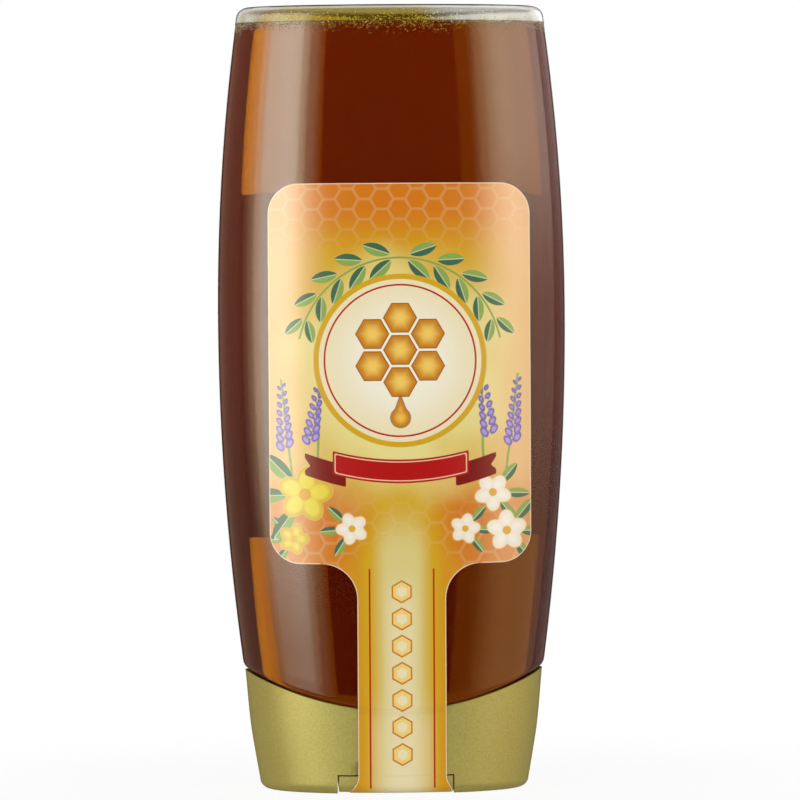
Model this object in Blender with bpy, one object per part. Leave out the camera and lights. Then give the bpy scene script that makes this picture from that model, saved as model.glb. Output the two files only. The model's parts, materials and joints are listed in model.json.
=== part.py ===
"""Honey squeeze bottle that stands upside down on its flip-top cap.

Units are metres. +Z is up, the front faces -Y, and the origin lies on the bottle's axis in the plane that
the cap stands on. An oval blow-moulded bottle screws down into an oval cap along a dished joint, so that the
oval parts can turn past each other. The cap carries a flush flip lid on a moulded film hinge, and a silicone
dosing valve behind the lid. A front label runs down over cap and lid as a seal.
"""

import math

import bmesh
import bpy
from mathutils import Matrix, Vector

MM = 0.001

# Mesh fineness
SEGMENTS = 48
WALL_ROWS = 10
SKIRT_ROWS = 3
ROUNDING_STEPS = 3
CORNER_STEPS = 6
THREAD_STATIONS = 36

# Outer form: an oval section whose half axes fall away from the belly along circle arcs
HEIGHT = 180 * MM
BELLY_HEIGHT = 109 * MM
BELLY_HALF_WIDTH = 40.15 * MM
BELLY_HALF_DEPTH = 21.6 * MM
WIDTH_ARC_ABOVE = 500 * MM
WIDTH_ARC_BELOW = 605 * MM
DEPTH_ARC_ABOVE = 970 * MM
DEPTH_ARC_BELOW = 3500 * MM
SECTION_POWER = 2.1

# Bottle shell
BOTTLE_WALL = 0.7 * MM
BASE_EDGE_RADIUS = 2.8 * MM
BASE_RING_WIDTH = 3.2 * MM
PUNT_DEPTH = 2.4 * MM
SHOULDER_EDGE = 1.2 * MM

# Dished joint between cap and bottle, level with the outline at the front and at the sides
JOINT_FRONT_HEIGHT = 19.6 * MM
JOINT_SIDE_RISE = 8.6 * MM
JOINT_GAP = 0.3 * MM

# Cap shell
CAP_STEP = 0.35 * MM
CAP_WALL = 1.5 * MM
CAP_END_WALL = 1.8 * MM
CAP_EDGE_RADIUS = 2.3 * MM
POCKET_WALL = 1.4 * MM
DECK_THICKNESS = 1.5 * MM

# Flip lid, flush in a pocket of the cap's end and hinged behind the valve
LID_WIDTH = 26.0 * MM
LID_RECESS = 0.45 * MM
LID_HEIGHT = 3.7 * MM
LID_PANEL = 1.3 * MM
LID_WALL = 1.3 * MM
LID_GAP = 0.3 * MM
HINGE_INSET = 6.62 * MM

# Moulded hinge: two side films and a longer spring strap between them
HINGE_SPAN = 1.8 * MM
HINGE_FIT = 0.15 * MM
FILM_THICKNESS = 0.4 * MM
FILM_WIDTH = 6.0 * MM
FILM_SPACING = 15.0 * MM
STRAP_WIDTH = 6.0 * MM
STRAP_LENGTH = 5.4 * MM
STRAP_THICKNESS = 0.55 * MM

# Thumb scoop in the skirt above the lid's lip
SCOOP_WIDTH = 24.0 * MM
SCOOP_HEIGHT = 3.9 * MM
SCOOP_DEPTH = 1.1 * MM

# Neck, its thread and the sleeve that it screws into
NECK_BORE_RADIUS = 12.4 * MM
NECK_WALL = 1.8 * MM
THREAD_PITCH = 3.6 * MM
THREAD_TURNS = 1.25
THREAD_DEPTH = 1.2 * MM
THREAD_ROOT_WIDTH = 1.3 * MM
THREAD_CREST_WIDTH = 0.7 * MM
THREAD_START = 1.6 * MM
THREAD_CLEARANCE = 0.4 * MM
THREAD_SUNK = 0.3 * MM
SLEEVE_WALL = 1.4 * MM
SLEEVE_TOP_GAP = 0.6 * MM

# Sealing ring, dosing valve, its retainer and the collars that hold them
SEAL_THICKNESS = 0.8 * MM
FIT_GAP = 0.3 * MM
VALVE_HOLE_RADIUS = 6.5 * MM
VALVE_SKIN = 0.6 * MM
VALVE_DROP = 1.3 * MM
VALVE_FLANGE_RADIUS = 9.8 * MM
VALVE_FLANGE = 1.0 * MM
VALVE_SLIT_LENGTH = 6.0 * MM
VALVE_SLIT_WIDTH = 0.25 * MM
RETAINER_THICKNESS = 1.4 * MM
RETAINER_BORE_RADIUS = 6.4 * MM
COLLAR_WALL = 1.1 * MM
NOZZLE_WALL = 1.4 * MM
NOZZLE_DROP = 1.4 * MM
PLUG_CLEARANCE = 0.5 * MM
PLUG_WALL = 1.0 * MM

# Honey
HONEY_GAP = 0.3 * MM
AIR_UNDER_PUNT = 0.9 * MM
HONEY_ABOVE_RETAINER = 0.5 * MM

# Labels, drawn as seen from the front and laid on the curved walls
LABEL_GAP = 0.15 * MM
LABEL_THICKNESS = 0.2 * MM
LABEL_SHIFT = 1.5 * MM
PANEL_HALF_WIDTH = 29.9 * MM
PANEL_TOP = 139.3 * MM
PANEL_BOTTOM = 52.7 * MM
PANEL_CORNER = 7.0 * MM
TAIL_HALF_WIDTH = 10.1 * MM
TAIL_FILLET = 8.0 * MM
TAB_HALF_WIDTH = 12.1 * MM
TAB_LENGTH = 9.0 * MM
TAB_MARGIN = 0.2 * MM
BACK_HALF_WIDTH = 30.0 * MM
BACK_TOP = 137.0 * MM
BACK_BOTTOM = 58.0 * MM

# Sizes that follow from the ones above
NECK_RADIUS = NECK_BORE_RADIUS + NECK_WALL
SLEEVE_BORE_RADIUS = NECK_RADIUS + THREAD_DEPTH + THREAD_CLEARANCE
SLEEVE_RADIUS = SLEEVE_BORE_RADIUS + SLEEVE_WALL
LID_TOP = LID_RECESS + LID_HEIGHT
POCKET_TOP = LID_TOP + LID_GAP
DECK_TOP = POCKET_TOP + DECK_THICKNESS
SEAL_BOTTOM = DECK_TOP + FIT_GAP
NECK_END = SEAL_BOTTOM + SEAL_THICKNESS + FIT_GAP
FLANGE_BOTTOM = DECK_TOP + FIT_GAP
RETAINER_BOTTOM = FLANGE_BOTTOM + VALVE_FLANGE + FIT_GAP
RETAINER_TOP = RETAINER_BOTTOM + RETAINER_THICKNESS
COLLAR_BORE_RADIUS = VALVE_FLANGE_RADIUS + FIT_GAP
HONEY_BOTTOM = RETAINER_TOP + HONEY_ABOVE_RETAINER
HONEY_LEVEL = HEIGHT - PUNT_DEPTH - BOTTLE_WALL - AIR_UNDER_PUNT
PUNT_INSET = BASE_EDGE_RADIUS + BASE_RING_WIDTH
FAR = 2 * BELLY_HALF_WIDTH


def arc_drop(distance, radius):
    """Return how far a circle arc has fallen at a distance from its crown."""
    return radius - math.sqrt(radius**2 - distance**2)


def half_width(height):
    """Return the oval's half axis along X at a height."""
    radius = WIDTH_ARC_ABOVE if height > BELLY_HEIGHT else WIDTH_ARC_BELOW
    return BELLY_HALF_WIDTH - arc_drop(height - BELLY_HEIGHT, radius)


def half_depth(height):
    """Return the oval's half axis along Y at a height."""
    radius = DEPTH_ARC_ABOVE if height > BELLY_HEIGHT else DEPTH_ARC_BELOW
    return BELLY_HALF_DEPTH - arc_drop(height - BELLY_HEIGHT, radius)


def oval_share(value):
    """Return a sine or cosine raised to the section's power, with its sign kept."""
    return math.copysign(abs(value) ** (2 / SECTION_POWER), value)


def outline_point(angle, height, inset):
    """Return the x and y of the oval at an angle and a height, drawn in by an inset."""
    x = (half_width(height) - inset) * oval_share(math.cos(angle))
    y = (half_depth(height) - inset) * oval_share(math.sin(angle))
    return x, y


FRONT_RADIUS = half_depth(JOINT_FRONT_HEIGHT)
SIDE_RADIUS = half_width(JOINT_FRONT_HEIGHT + JOINT_SIDE_RISE)
DISH_RISE = JOINT_SIDE_RISE / (SIDE_RADIUS**2 - FRONT_RADIUS**2)
DISH_CENTRE = JOINT_FRONT_HEIGHT - DISH_RISE * FRONT_RADIUS**2
HINGE_SETBACK = half_depth(CAP_EDGE_RADIUS) - CAP_STEP - HINGE_INSET


def dish_height(radius, lift):
    """Return the height of the round dish between cap and bottle, lifted along its normal."""
    slope = 2 * DISH_RISE * radius
    return DISH_CENTRE + DISH_RISE * radius**2 + lift * math.hypot(1, slope)


def edge_height(angle, inset, lift):
    """Return the height at which the lifted dish meets the drawn-in oval wall at an angle."""
    height = JOINT_FRONT_HEIGHT
    for _ in range(ROUNDING_STEPS * 2):
        height = dish_height(math.hypot(*outline_point(angle, height, inset)), lift)
    return height


def ring_angles():
    """Return the angles of a ring's points."""
    return [math.tau * number / SEGMENTS for number in range(SEGMENTS)]


def level_ring(height, inset):
    """Return a level ring of the oval at a height."""
    return [Vector((*outline_point(angle, height, inset), height)) for angle in ring_angles()]


def round_ring(radius, height):
    """Return a level circle."""
    return [Vector((radius * math.cos(angle), radius * math.sin(angle), height)) for angle in ring_angles()]


def wall_ring(share, inset, lift, end_height):
    """Return a ring part of the way from the dish to a level end, along the wall."""
    ring = []
    for angle in ring_angles():
        start = edge_height(angle, inset, lift)
        height = start + share * (end_height - start)
        ring.append(Vector((*outline_point(angle, height, inset), height)))
    return ring


def dish_ring(share, radius, inset, lift):
    """Return a ring on the dish, from a circle at share 0 to the oval's edge at share 1."""
    ring = []
    for angle in ring_angles():
        edge = Vector(outline_point(angle, edge_height(angle, inset, lift), inset))
        centre = Vector((radius * math.cos(angle), radius * math.sin(angle)))
        point = centre.lerp(edge, share)
        ring.append(Vector((point.x, point.y, dish_height(point.length, lift))))
    return ring


def shoulder_ring(share, inset, lift, size):
    """Return a ring of the rounded corner between dish and wall, a curve drawn in towards the corner."""
    ring = []
    for angle in ring_angles():
        inner = Vector(outline_point(angle, edge_height(angle, inset + size, lift), inset + size))
        start = Vector((inner.x, inner.y, dish_height(inner.length, lift)))
        corner_height = edge_height(angle, inset, lift)
        corner = Vector((*outline_point(angle, corner_height, inset), corner_height))
        end_height = corner_height + size
        end = Vector((*outline_point(angle, end_height, inset), end_height))
        ring.append(start.lerp(corner, share).lerp(corner.lerp(end, share), share))
    return ring


def steps(count):
    """Return evenly spaced shares from 0 to 1."""
    return [number / count for number in range(count + 1)]


def base_rings(inset, sink):
    """Return the rings of the bottle's base from the punt's middle to the end of the rounded edge."""
    top = HEIGHT - sink
    rings = []
    for share in (0.3, 0.55, 0.8, 1.0):
        height = top - PUNT_DEPTH * (1 - share**2) ** 2
        rim = level_ring(HEIGHT, PUNT_INSET)
        rings.append([Vector((point.x * share, point.y * share, height)) for point in rim])
    radius = BASE_EDGE_RADIUS - inset
    for share in steps(ROUNDING_STEPS):
        turn = share * math.pi / 2
        drop = radius * (1 - math.cos(turn))
        ring = level_ring(HEIGHT - BASE_EDGE_RADIUS, inset + radius * (1 - math.sin(turn)))
        rings.append([Vector((point.x, point.y, top - drop)) for point in ring])
    return rings


def skin(name, rings, looped=False):
    """Return a closed mesh through rings, with flat ends or looped back to its first ring."""
    form = bmesh.new()
    loops = [[form.verts.new(point) for point in ring] for ring in rings]
    pairs = list(zip(loops, loops[1:]))
    if looped:
        pairs.append((loops[-1], loops[0]))
    else:
        form.faces.new(loops[0])
        form.faces.new(loops[-1])
    for lower, upper in pairs:
        for start in range(len(lower)):
            following = (start + 1) % len(lower)
            form.faces.new((lower[start], lower[following], upper[following], upper[start]))
    return finished_mesh(name, form)


def finished_mesh(name, form):
    """Return a mesh from a bmesh, with its faces turned outwards."""
    bmesh.ops.recalc_face_normals(form, faces=form.faces[:])
    mesh = bpy.data.meshes.new(name)
    form.to_mesh(mesh)
    form.free()
    return mesh


def box_mesh(name, low, high):
    """Return a box between two corners."""
    form = bmesh.new()
    size = Vector(high) - Vector(low)
    middle = (Vector(high) + Vector(low)) / 2
    spot = Matrix.Translation(middle) @ Matrix.Diagonal((*size, 1))
    bmesh.ops.create_cube(form, size=1, matrix=spot)
    return finished_mesh(name, form)


def prism_mesh(name, outline, start, end):
    """Return an outline of x and z points, drawn along Y from start to end."""
    form = bmesh.new()
    near = [form.verts.new((x, start, z)) for x, z in outline]
    far = [form.verts.new((x, end, z)) for x, z in outline]
    form.faces.new(near)
    form.faces.new(far)
    for first in range(len(outline)):
        following = (first + 1) % len(outline)
        form.faces.new((near[first], near[following], far[following], far[first]))
    return finished_mesh(name, form)


def turned_mesh(name, profile):
    """Return a closed profile of radius and height points, turned round the axis."""
    rings = [round_ring(radius, height) for radius, height in profile]
    return skin(name, rings, looped=True)


def turned_solid(name, profile):
    """Return an open profile turned round the axis, with flat ends."""
    return skin(name, [round_ring(radius, height) for radius, height in profile])


def thread_mesh(name, wall_radius, depth, start_height):
    """Return a right-hand screw ridge. A negative depth points it inwards."""
    root = wall_radius - math.copysign(THREAD_SUNK, depth)
    form = bmesh.new()
    rows = []
    for share in steps(THREAD_STATIONS):
        turn = share * THREAD_TURNS
        fade = min(1.0, 8 * share, 8 * (1 - share))
        crest = wall_radius + depth * fade - math.copysign(THREAD_SUNK / 2, depth) * (1 - fade)
        height = start_height + THREAD_PITCH * turn
        profile = (
            (root, -THREAD_ROOT_WIDTH / 2),
            (crest, -THREAD_CREST_WIDTH / 2),
            (crest, THREAD_CREST_WIDTH / 2),
            (root, THREAD_ROOT_WIDTH / 2),
        )
        cosine = math.cos(math.tau * turn)
        sine = math.sin(math.tau * turn)
        rows.append([form.verts.new((r * cosine, r * sine, height + rise)) for r, rise in profile])
    for row, following in zip(rows, rows[1:]):
        for first in range(4):
            second = (first + 1) % 4
            form.faces.new((row[first], row[second], following[second], following[first]))
    form.faces.new(rows[0])
    form.faces.new(rows[-1])
    return finished_mesh(name, form)


def material(name, color, roughness, metallic=0.0, transmission=0.0):
    """Return a plain material."""
    finish = bpy.data.materials.new(name)
    finish.use_nodes = True
    shader = finish.node_tree.nodes["Principled BSDF"]
    shader.inputs["Base Color"].default_value = (*color, 1)
    shader.inputs["Roughness"].default_value = roughness
    shader.inputs["Metallic"].default_value = metallic
    shader.inputs["Transmission Weight"].default_value = transmission
    return finish


def place(name, mesh, finish):
    """Add a piece of the pack to the scene."""
    piece = bpy.data.objects.new(name, mesh)
    bpy.context.collection.objects.link(piece)
    mesh.shade_smooth()
    mesh.set_sharp_from_angle(angle=math.radians(32))
    mesh.materials.append(finish)
    return piece


def helper(mesh):
    """Add a shape that only cuts or joins another one."""
    shape = bpy.data.objects.new(mesh.name, mesh)
    bpy.context.collection.objects.link(shape)
    shape.hide_render = True
    shape.display_type = "WIRE"
    return shape


def combine(piece, shape, operation):
    """Cut, join or trim a piece with a helper shape."""
    change = piece.modifiers.new(shape.name, "BOOLEAN")
    change.operation = operation
    change.solver = "EXACT"
    change.object = shape


def bottle_rings():
    """Return the shell's rings: down its outside to the neck's end, and up the inside."""
    lift = JOINT_GAP / 2
    side_top = HEIGHT - BASE_EDGE_RADIUS
    rings = base_rings(0, 0)
    corner = [shoulder_ring(share, 0, lift, SHOULDER_EDGE) for share in steps(ROUNDING_STEPS)]
    corner.reverse()
    for share in steps(WALL_ROWS)[1:-1]:
        upper = level_ring(side_top, 0)
        heights = [high.z + share * (low.z - high.z) for high, low in zip(upper, corner[0])]
        points = [outline_point(a, height, 0) for a, height in zip(ring_angles(), heights)]
        rings.append([Vector((x, y, height)) for (x, y), height in zip(points, heights)])
    rings += corner
    rings += [dish_ring(share, NECK_RADIUS, SHOULDER_EDGE, lift) for share in (0.66, 0.33, 0.0)]
    rings.append(round_ring(NECK_RADIUS, NECK_END))
    rings.append(round_ring(NECK_BORE_RADIUS, NECK_END))
    rings += inner_rings(0, NECK_BORE_RADIUS, side_top)
    inside = base_rings(BOTTLE_WALL, BOTTLE_WALL)
    inside.reverse()
    return rings + inside


def inner_rings(gap, radius, top):
    """Return the rings of the bottle's inside, drawn in by a gap, from the neck up to a level."""
    inset = BOTTLE_WALL + gap
    lift = JOINT_GAP / 2 + inset
    size = SHOULDER_EDGE
    rings = [dish_ring(share, radius, inset + size, lift) for share in (0.0, 0.33, 0.66)]
    corner = [shoulder_ring(share, inset, lift, size) for share in steps(ROUNDING_STEPS)]
    rings += corner
    for share in steps(WALL_ROWS)[1:-1]:
        heights = [low.z + share * (top - low.z) for low in corner[-1]]
        points = [outline_point(a, height, inset) for a, height in zip(ring_angles(), heights)]
        rings.append([Vector((x, y, height)) for (x, y), height in zip(points, heights)])
    return rings


def make_bottle(finish):
    """Make the clear shell, open at its threaded neck."""
    bottle = place("bottle", skin("bottle", bottle_rings()), finish)
    start = NECK_END + THREAD_START
    combine(bottle, helper(thread_mesh("neck_thread", NECK_RADIUS, THREAD_DEPTH, start)), "UNION")


def make_honey(finish):
    """Make the honey as one solid from the neck to its level under the base."""
    radius = NECK_BORE_RADIUS - HONEY_GAP
    rings = [round_ring(radius, HONEY_BOTTOM)]
    rings += inner_rings(HONEY_GAP, radius, HONEY_LEVEL)
    inset = BOTTLE_WALL + HONEY_GAP
    crown = HEIGHT - BASE_EDGE_RADIUS
    if HONEY_LEVEL > crown:
        radius = BASE_EDGE_RADIUS - inset
        inset += radius - math.sqrt(max(radius**2 - (HONEY_LEVEL - crown) ** 2, 0))
    rings.append(level_ring(HONEY_LEVEL, inset))
    place("honey_fill", skin("honey_fill", rings), finish)


def skirt_rings(floor, inset, radius, top_height=None):
    """Return the cap's outside from its end face up to the dish, or up to a level."""
    rings = []
    for share in steps(ROUNDING_STEPS):
        turn = share * math.pi / 2
        height = floor + radius * (1 - math.cos(turn))
        ring = level_ring(radius, inset + radius * (1 - math.sin(turn)))
        rings.append([Vector((point.x, point.y, height)) for point in ring])
    start = floor + radius
    for share in steps(SKIRT_ROWS)[1:]:
        if top_height is None:
            rings.append(wall_ring(1 - share, inset, -JOINT_GAP / 2, start))
        else:
            rings.append(level_ring(start + share * (top_height - start), inset))
    return rings


def oval_block(name, floor, inset, radius, top_height):
    """Return a solid oval block with the cap's outside form and a rounded lower edge."""
    return helper(skin(name, skirt_rings(floor, inset, radius, top_height)))


def cap_cup():
    """Return the cap's skirt and end wall as one cup."""
    inside = CAP_STEP + CAP_WALL
    rings = skirt_rings(0, CAP_STEP, CAP_EDGE_RADIUS)
    rings += [wall_ring(share, inside, -JOINT_GAP / 2, CAP_END_WALL) for share in steps(SKIRT_ROWS)]
    return skin("cap_body", rings)


def pocket_plan(grow, back):
    """Return the half width, front and back of the lid's space, grown by a wall or a gap."""
    return LID_WIDTH / 2 + grow, -FAR, HINGE_SETBACK + back


def make_cap(finish):
    """Make the cap: skirt, end wall, lid pocket, deck, threaded sleeve and the two valve collars."""
    cap = place("cap_body", cap_cup(), finish)
    half, front, back = pocket_plan(LID_GAP + POCKET_WALL, HINGE_SPAN / 2 + POCKET_WALL)
    block = helper(box_mesh("pocket_block", (-half, front, CAP_END_WALL / 2), (half, back, DECK_TOP)))
    core = oval_block("cap_core", 0, CAP_STEP + CAP_WALL / 2, CAP_EDGE_RADIUS, DECK_TOP + CAP_WALL)
    combine(block, core, "INTERSECT")
    combine(cap, block, "UNION")
    top = dish_height(SLEEVE_BORE_RADIUS, -JOINT_GAP / 2) - SLEEVE_TOP_GAP
    disc_bottom = POCKET_TOP + DECK_THICKNESS / 4
    sleeve = turned_solid(
        "sleeve",
        (
            (SLEEVE_RADIUS, disc_bottom),
            (SLEEVE_RADIUS, top),
            (SLEEVE_BORE_RADIUS, top),
            (SLEEVE_BORE_RADIUS, DECK_TOP - DECK_THICKNESS / 10),
        ),
    )
    combine(cap, helper(sleeve), "UNION")
    start = NECK_END + THREAD_START - THREAD_PITCH / 2
    thread = thread_mesh("sleeve_thread", SLEEVE_BORE_RADIUS, -THREAD_DEPTH, start)
    combine(cap, helper(thread), "UNION")
    half, front, back = pocket_plan(LID_GAP, HINGE_SPAN / 2)
    pocket = box_mesh("lid_pocket", (-half, front, -FAR), (half, back, POCKET_TOP))
    combine(cap, helper(pocket), "DIFFERENCE")
    ceiling = LID_RECESS + STRAP_THICKNESS + LID_GAP
    combine(cap, helper(strap_slot("cap_slot", back - POCKET_WALL / 2, 1, ceiling)), "DIFFERENCE")
    sunk = DECK_THICKNESS / 3
    nozzle = tube_profile(VALVE_HOLE_RADIUS, NOZZLE_WALL, POCKET_TOP - NOZZLE_DROP, POCKET_TOP + sunk)
    combine(cap, helper(turned_mesh("nozzle", nozzle)), "UNION")
    collar = tube_profile(COLLAR_BORE_RADIUS, COLLAR_WALL, DECK_TOP - sunk, RETAINER_TOP)
    combine(cap, helper(turned_mesh("collar", collar)), "UNION")
    hole = turned_solid("valve_hole", ((VALVE_HOLE_RADIUS, 0), (VALVE_HOLE_RADIUS, DECK_TOP + CAP_WALL)))
    combine(cap, helper(hole), "DIFFERENCE")
    combine(cap, helper(scoop_mesh()), "DIFFERENCE")


def tube_profile(bore, wall, low, high):
    """Return a tube's closed profile."""
    return ((bore, low), (bore + wall, low), (bore + wall, high), (bore, high))


def scoop_mesh():
    """Return the thumb scoop's cutter: an oval bar across the front, level with the lid's seam."""
    front = -(half_depth(POCKET_TOP) - CAP_STEP)
    form = bmesh.new()
    ends = []
    for x in (-SCOOP_WIDTH / 2, SCOOP_WIDTH / 2):
        loop = []
        for share in steps(4 * ROUNDING_STEPS)[:-1]:
            y = front + SCOOP_DEPTH * math.cos(math.tau * share)
            z = POCKET_TOP + SCOOP_HEIGHT * math.sin(math.tau * share)
            loop.append(form.verts.new((x, y, z)))
        ends.append(loop)
    left, right = ends
    form.faces.new(left)
    form.faces.new(right)
    for first in range(len(left)):
        following = (first + 1) % len(left)
        form.faces.new((left[first], left[following], right[following], right[first]))
    return finished_mesh("scoop", form)


def strap_slot(name, inner, side, ceiling):
    """Return the slot for the hinge's spring strap, on the cap's side (1) or the lid's (-1)."""
    half = STRAP_WIDTH / 2 + LID_GAP
    reach = HINGE_SETBACK + side * (STRAP_LENGTH / 2 + HINGE_FIT)
    start, end = sorted((inner, reach))
    return box_mesh(name, (-half, start, -FAR), (half, end, ceiling))


def make_lid(finish):
    """Make the flip lid: a shallow tray with a front lip and a plug ring under the valve."""
    half, front, back = pocket_plan(0, -HINGE_SPAN / 2)
    block = skirt_rings(LID_RECESS, CAP_STEP, CAP_EDGE_RADIUS - LID_RECESS, LID_TOP)
    lid = place("flip_lid", skin("flip_lid", block), finish)
    plan = helper(box_mesh("lid_plan", (-half, front, -FAR), (half, back, FAR)))
    combine(lid, plan, "INTERSECT")
    floor = LID_RECESS + LID_PANEL
    inside = oval_block("tray_core", floor, CAP_STEP + LID_WALL, LID_WALL / 2, LID_TOP + FAR)
    low = (-half + LID_WALL, front, -FAR)
    tray = helper(box_mesh("lid_tray", low, (half - LID_WALL, back - LID_WALL, FAR)))
    combine(tray, inside, "INTERSECT")
    combine(lid, tray, "DIFFERENCE")
    combine(lid, helper(strap_slot("lid_slot", back + LID_WALL, -1, FAR)), "DIFFERENCE")
    radius = VALVE_HOLE_RADIUS - PLUG_CLEARANCE - PLUG_WALL
    plug = tube_profile(radius, PLUG_WALL, floor - LID_PANEL / 2, LID_TOP)
    combine(lid, helper(turned_mesh("plug", plug)), "UNION")


def make_hinge(finish):
    """Make the two side films and the spring strap between them."""
    span = HINGE_SPAN - 2 * HINGE_FIT
    for name, side in (("hinge_film_left", -1), ("hinge_film_right", 1)):
        low = Vector((side * FILM_SPACING / 2 - FILM_WIDTH / 2, HINGE_SETBACK - span / 2, LID_RECESS))
        high = low + Vector((FILM_WIDTH, span, FILM_THICKNESS))
        place(name, box_mesh(name, low, high), finish)
    low = (-STRAP_WIDTH / 2, HINGE_SETBACK - STRAP_LENGTH / 2, LID_RECESS)
    high = (STRAP_WIDTH / 2, HINGE_SETBACK + STRAP_LENGTH / 2, LID_RECESS + STRAP_THICKNESS)
    place("hinge_spring", box_mesh("hinge_spring", low, high), finish)


def make_valve(finish):
    """Make the silicone valve: a clamped flange and a slit membrane hanging in the deck's hole."""
    rim = VALVE_HOLE_RADIUS - FIT_GAP
    low = FLANGE_BOTTOM - VALVE_DROP
    top = FLANGE_BOTTOM + VALVE_FLANGE
    skin_top = low + VALVE_SKIN
    rings = [
        (rim / 4, low + VALVE_SKIN / 3),
        (rim * 0.8, low),
        (rim, low + VALVE_SKIN),
        (rim, FLANGE_BOTTOM),
        (VALVE_FLANGE_RADIUS, FLANGE_BOTTOM),
        (VALVE_FLANGE_RADIUS, top),
        (rim - VALVE_SKIN, top),
        (rim - VALVE_SKIN, skin_top + VALVE_SKIN),
        (rim * 0.8 - VALVE_SKIN / 2, skin_top),
        (rim / 4, skin_top + VALVE_SKIN / 3),
    ]
    valve = place("dosing_valve", turned_solid("dosing_valve", rings), finish)
    for length, width in ((VALVE_SLIT_LENGTH, VALVE_SLIT_WIDTH), (VALVE_SLIT_WIDTH, VALVE_SLIT_LENGTH)):
        corner = Vector((length / 2, width / 2, 0))
        slit = box_mesh("valve_slit", -corner + Vector((0, 0, low - FAR)), corner + Vector((0, 0, top)))
        combine(valve, helper(slit), "DIFFERENCE")


def make_rings(plastic, rubber):
    """Make the valve's retaining ring and the neck's sealing ring."""
    outer = COLLAR_BORE_RADIUS - FIT_GAP
    profile = tube_profile(RETAINER_BORE_RADIUS, outer - RETAINER_BORE_RADIUS, RETAINER_BOTTOM, RETAINER_TOP)
    place("valve_retainer", turned_mesh("valve_retainer", profile), plastic)
    profile = tube_profile(NECK_BORE_RADIUS, NECK_WALL, SEAL_BOTTOM, SEAL_BOTTOM + SEAL_THICKNESS)
    place("neck_seal", turned_mesh("neck_seal", profile), rubber)


def corner_arc(x, z, radius, start, end):
    """Return points of an arc round a corner's centre, with its angles in degrees."""
    turns = [math.radians(start + share * (end - start)) for share in steps(CORNER_STEPS)]
    return [(x + radius * math.cos(turn), z + radius * math.sin(turn)) for turn in turns]


def mirrored(half_outline, middle):
    """Return an outline from its right half, listed from top to bottom."""
    right = [(middle + x, z) for x, z in half_outline]
    left = [(middle - x, z) for x, z in reversed(half_outline)]
    return right + left


def panel_outline():
    """Return the front label: a panel with round corners, and a tail joined to it by fillets."""
    inner = PANEL_HALF_WIDTH - PANEL_CORNER
    half = corner_arc(inner, PANEL_TOP - PANEL_CORNER, PANEL_CORNER, 90, 0)
    half += corner_arc(inner, PANEL_BOTTOM + PANEL_CORNER, PANEL_CORNER, 0, -90)
    half += corner_arc(TAIL_HALF_WIDTH + TAIL_FILLET, PANEL_BOTTOM - TAIL_FILLET, TAIL_FILLET, 90, 180)
    half.append((TAIL_HALF_WIDTH, 0))
    return mirrored(half, LABEL_SHIFT)


def back_outline():
    """Return the back label: a plain panel with round corners."""
    inner = BACK_HALF_WIDTH - PANEL_CORNER
    half = corner_arc(inner, BACK_TOP - PANEL_CORNER, PANEL_CORNER, 90, 0)
    half += corner_arc(inner, BACK_BOTTOM + PANEL_CORNER, PANEL_CORNER, 0, -90)
    return mirrored(half, 0)


def tab_outline():
    """Return the end of the tail on the lid, which flares down to the lower edge."""
    edge = LID_WIDTH / 2 - TAB_MARGIN
    half = [(TAIL_HALF_WIDTH, FAR), (TAIL_HALF_WIDTH, LID_TOP), (TAB_HALF_WIDTH, LID_RECESS), (TAB_HALF_WIDTH, -FAR)]
    return [(max(-edge, min(edge, x)), z) for x, z in mirrored(half, LABEL_SHIFT)]


def label_sleeve(inset, ring_at):
    """Return a thin sleeve round a wall, from which a label is cut."""
    inner = [ring_at(share, inset - LABEL_GAP) for share in steps(WALL_ROWS)]
    outer = [ring_at(share, inset - LABEL_GAP - LABEL_THICKNESS) for share in steps(WALL_ROWS)]
    outer.reverse()
    return inner + outer


def make_bottle_labels(finish):
    """Make the front label, down to the joint, and the back label."""
    top = HEIGHT - BASE_EDGE_RADIUS

    def ring_at(share, inset):
        return wall_ring(share, inset, JOINT_GAP, top)

    for name, outline, start, end in (
        ("front_label", panel_outline(), -FAR, 0),
        ("back_label", back_outline(), 0, FAR),
    ):
        label = place(name, skin(name, label_sleeve(0, ring_at), looped=True), finish)
        combine(label, helper(prism_mesh(name + "_cut", outline, start, end)), "INTERSECT")


def make_seal_strip(finish):
    """Make the tail's length over the cap, from the joint down to the lid's seam."""

    def ring_at(share, inset):
        return wall_ring(share, inset, -JOINT_GAP, POCKET_TOP)

    strip = place("seal_strip", skin("seal_strip", label_sleeve(CAP_STEP, ring_at), looped=True), finish)
    outline = [(TAIL_HALF_WIDTH, FAR), (TAIL_HALF_WIDTH, -FAR)]
    cutter = prism_mesh("seal_strip_cut", mirrored(outline, LABEL_SHIFT), -FAR, 0)
    combine(strip, helper(cutter), "INTERSECT")


def make_seal_tab(finish):
    """Make the tail's end, which is folded under the lid's lip."""
    faces = []
    for gap in (LABEL_GAP, LABEL_GAP + LABEL_THICKNESS):
        radius = CAP_EDGE_RADIUS - LID_RECESS + gap
        rings = skirt_rings(LID_RECESS - gap, CAP_STEP - gap, radius, LID_TOP)
        inner = [Vector((point.x * 0.2, point.y * 0.2, point.z)) for point in rings[0]]
        faces.append([inner] + rings)
    inside, outside = faces
    outside.reverse()
    tab = place("seal_tab", skin("seal_tab", inside + outside, looped=True), finish)
    front = -(half_depth(CAP_EDGE_RADIUS) - CAP_STEP)
    cutter = prism_mesh("seal_tab_cut", tab_outline(), -FAR, front + TAB_LENGTH)
    combine(tab, helper(cutter), "INTERSECT")


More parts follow.
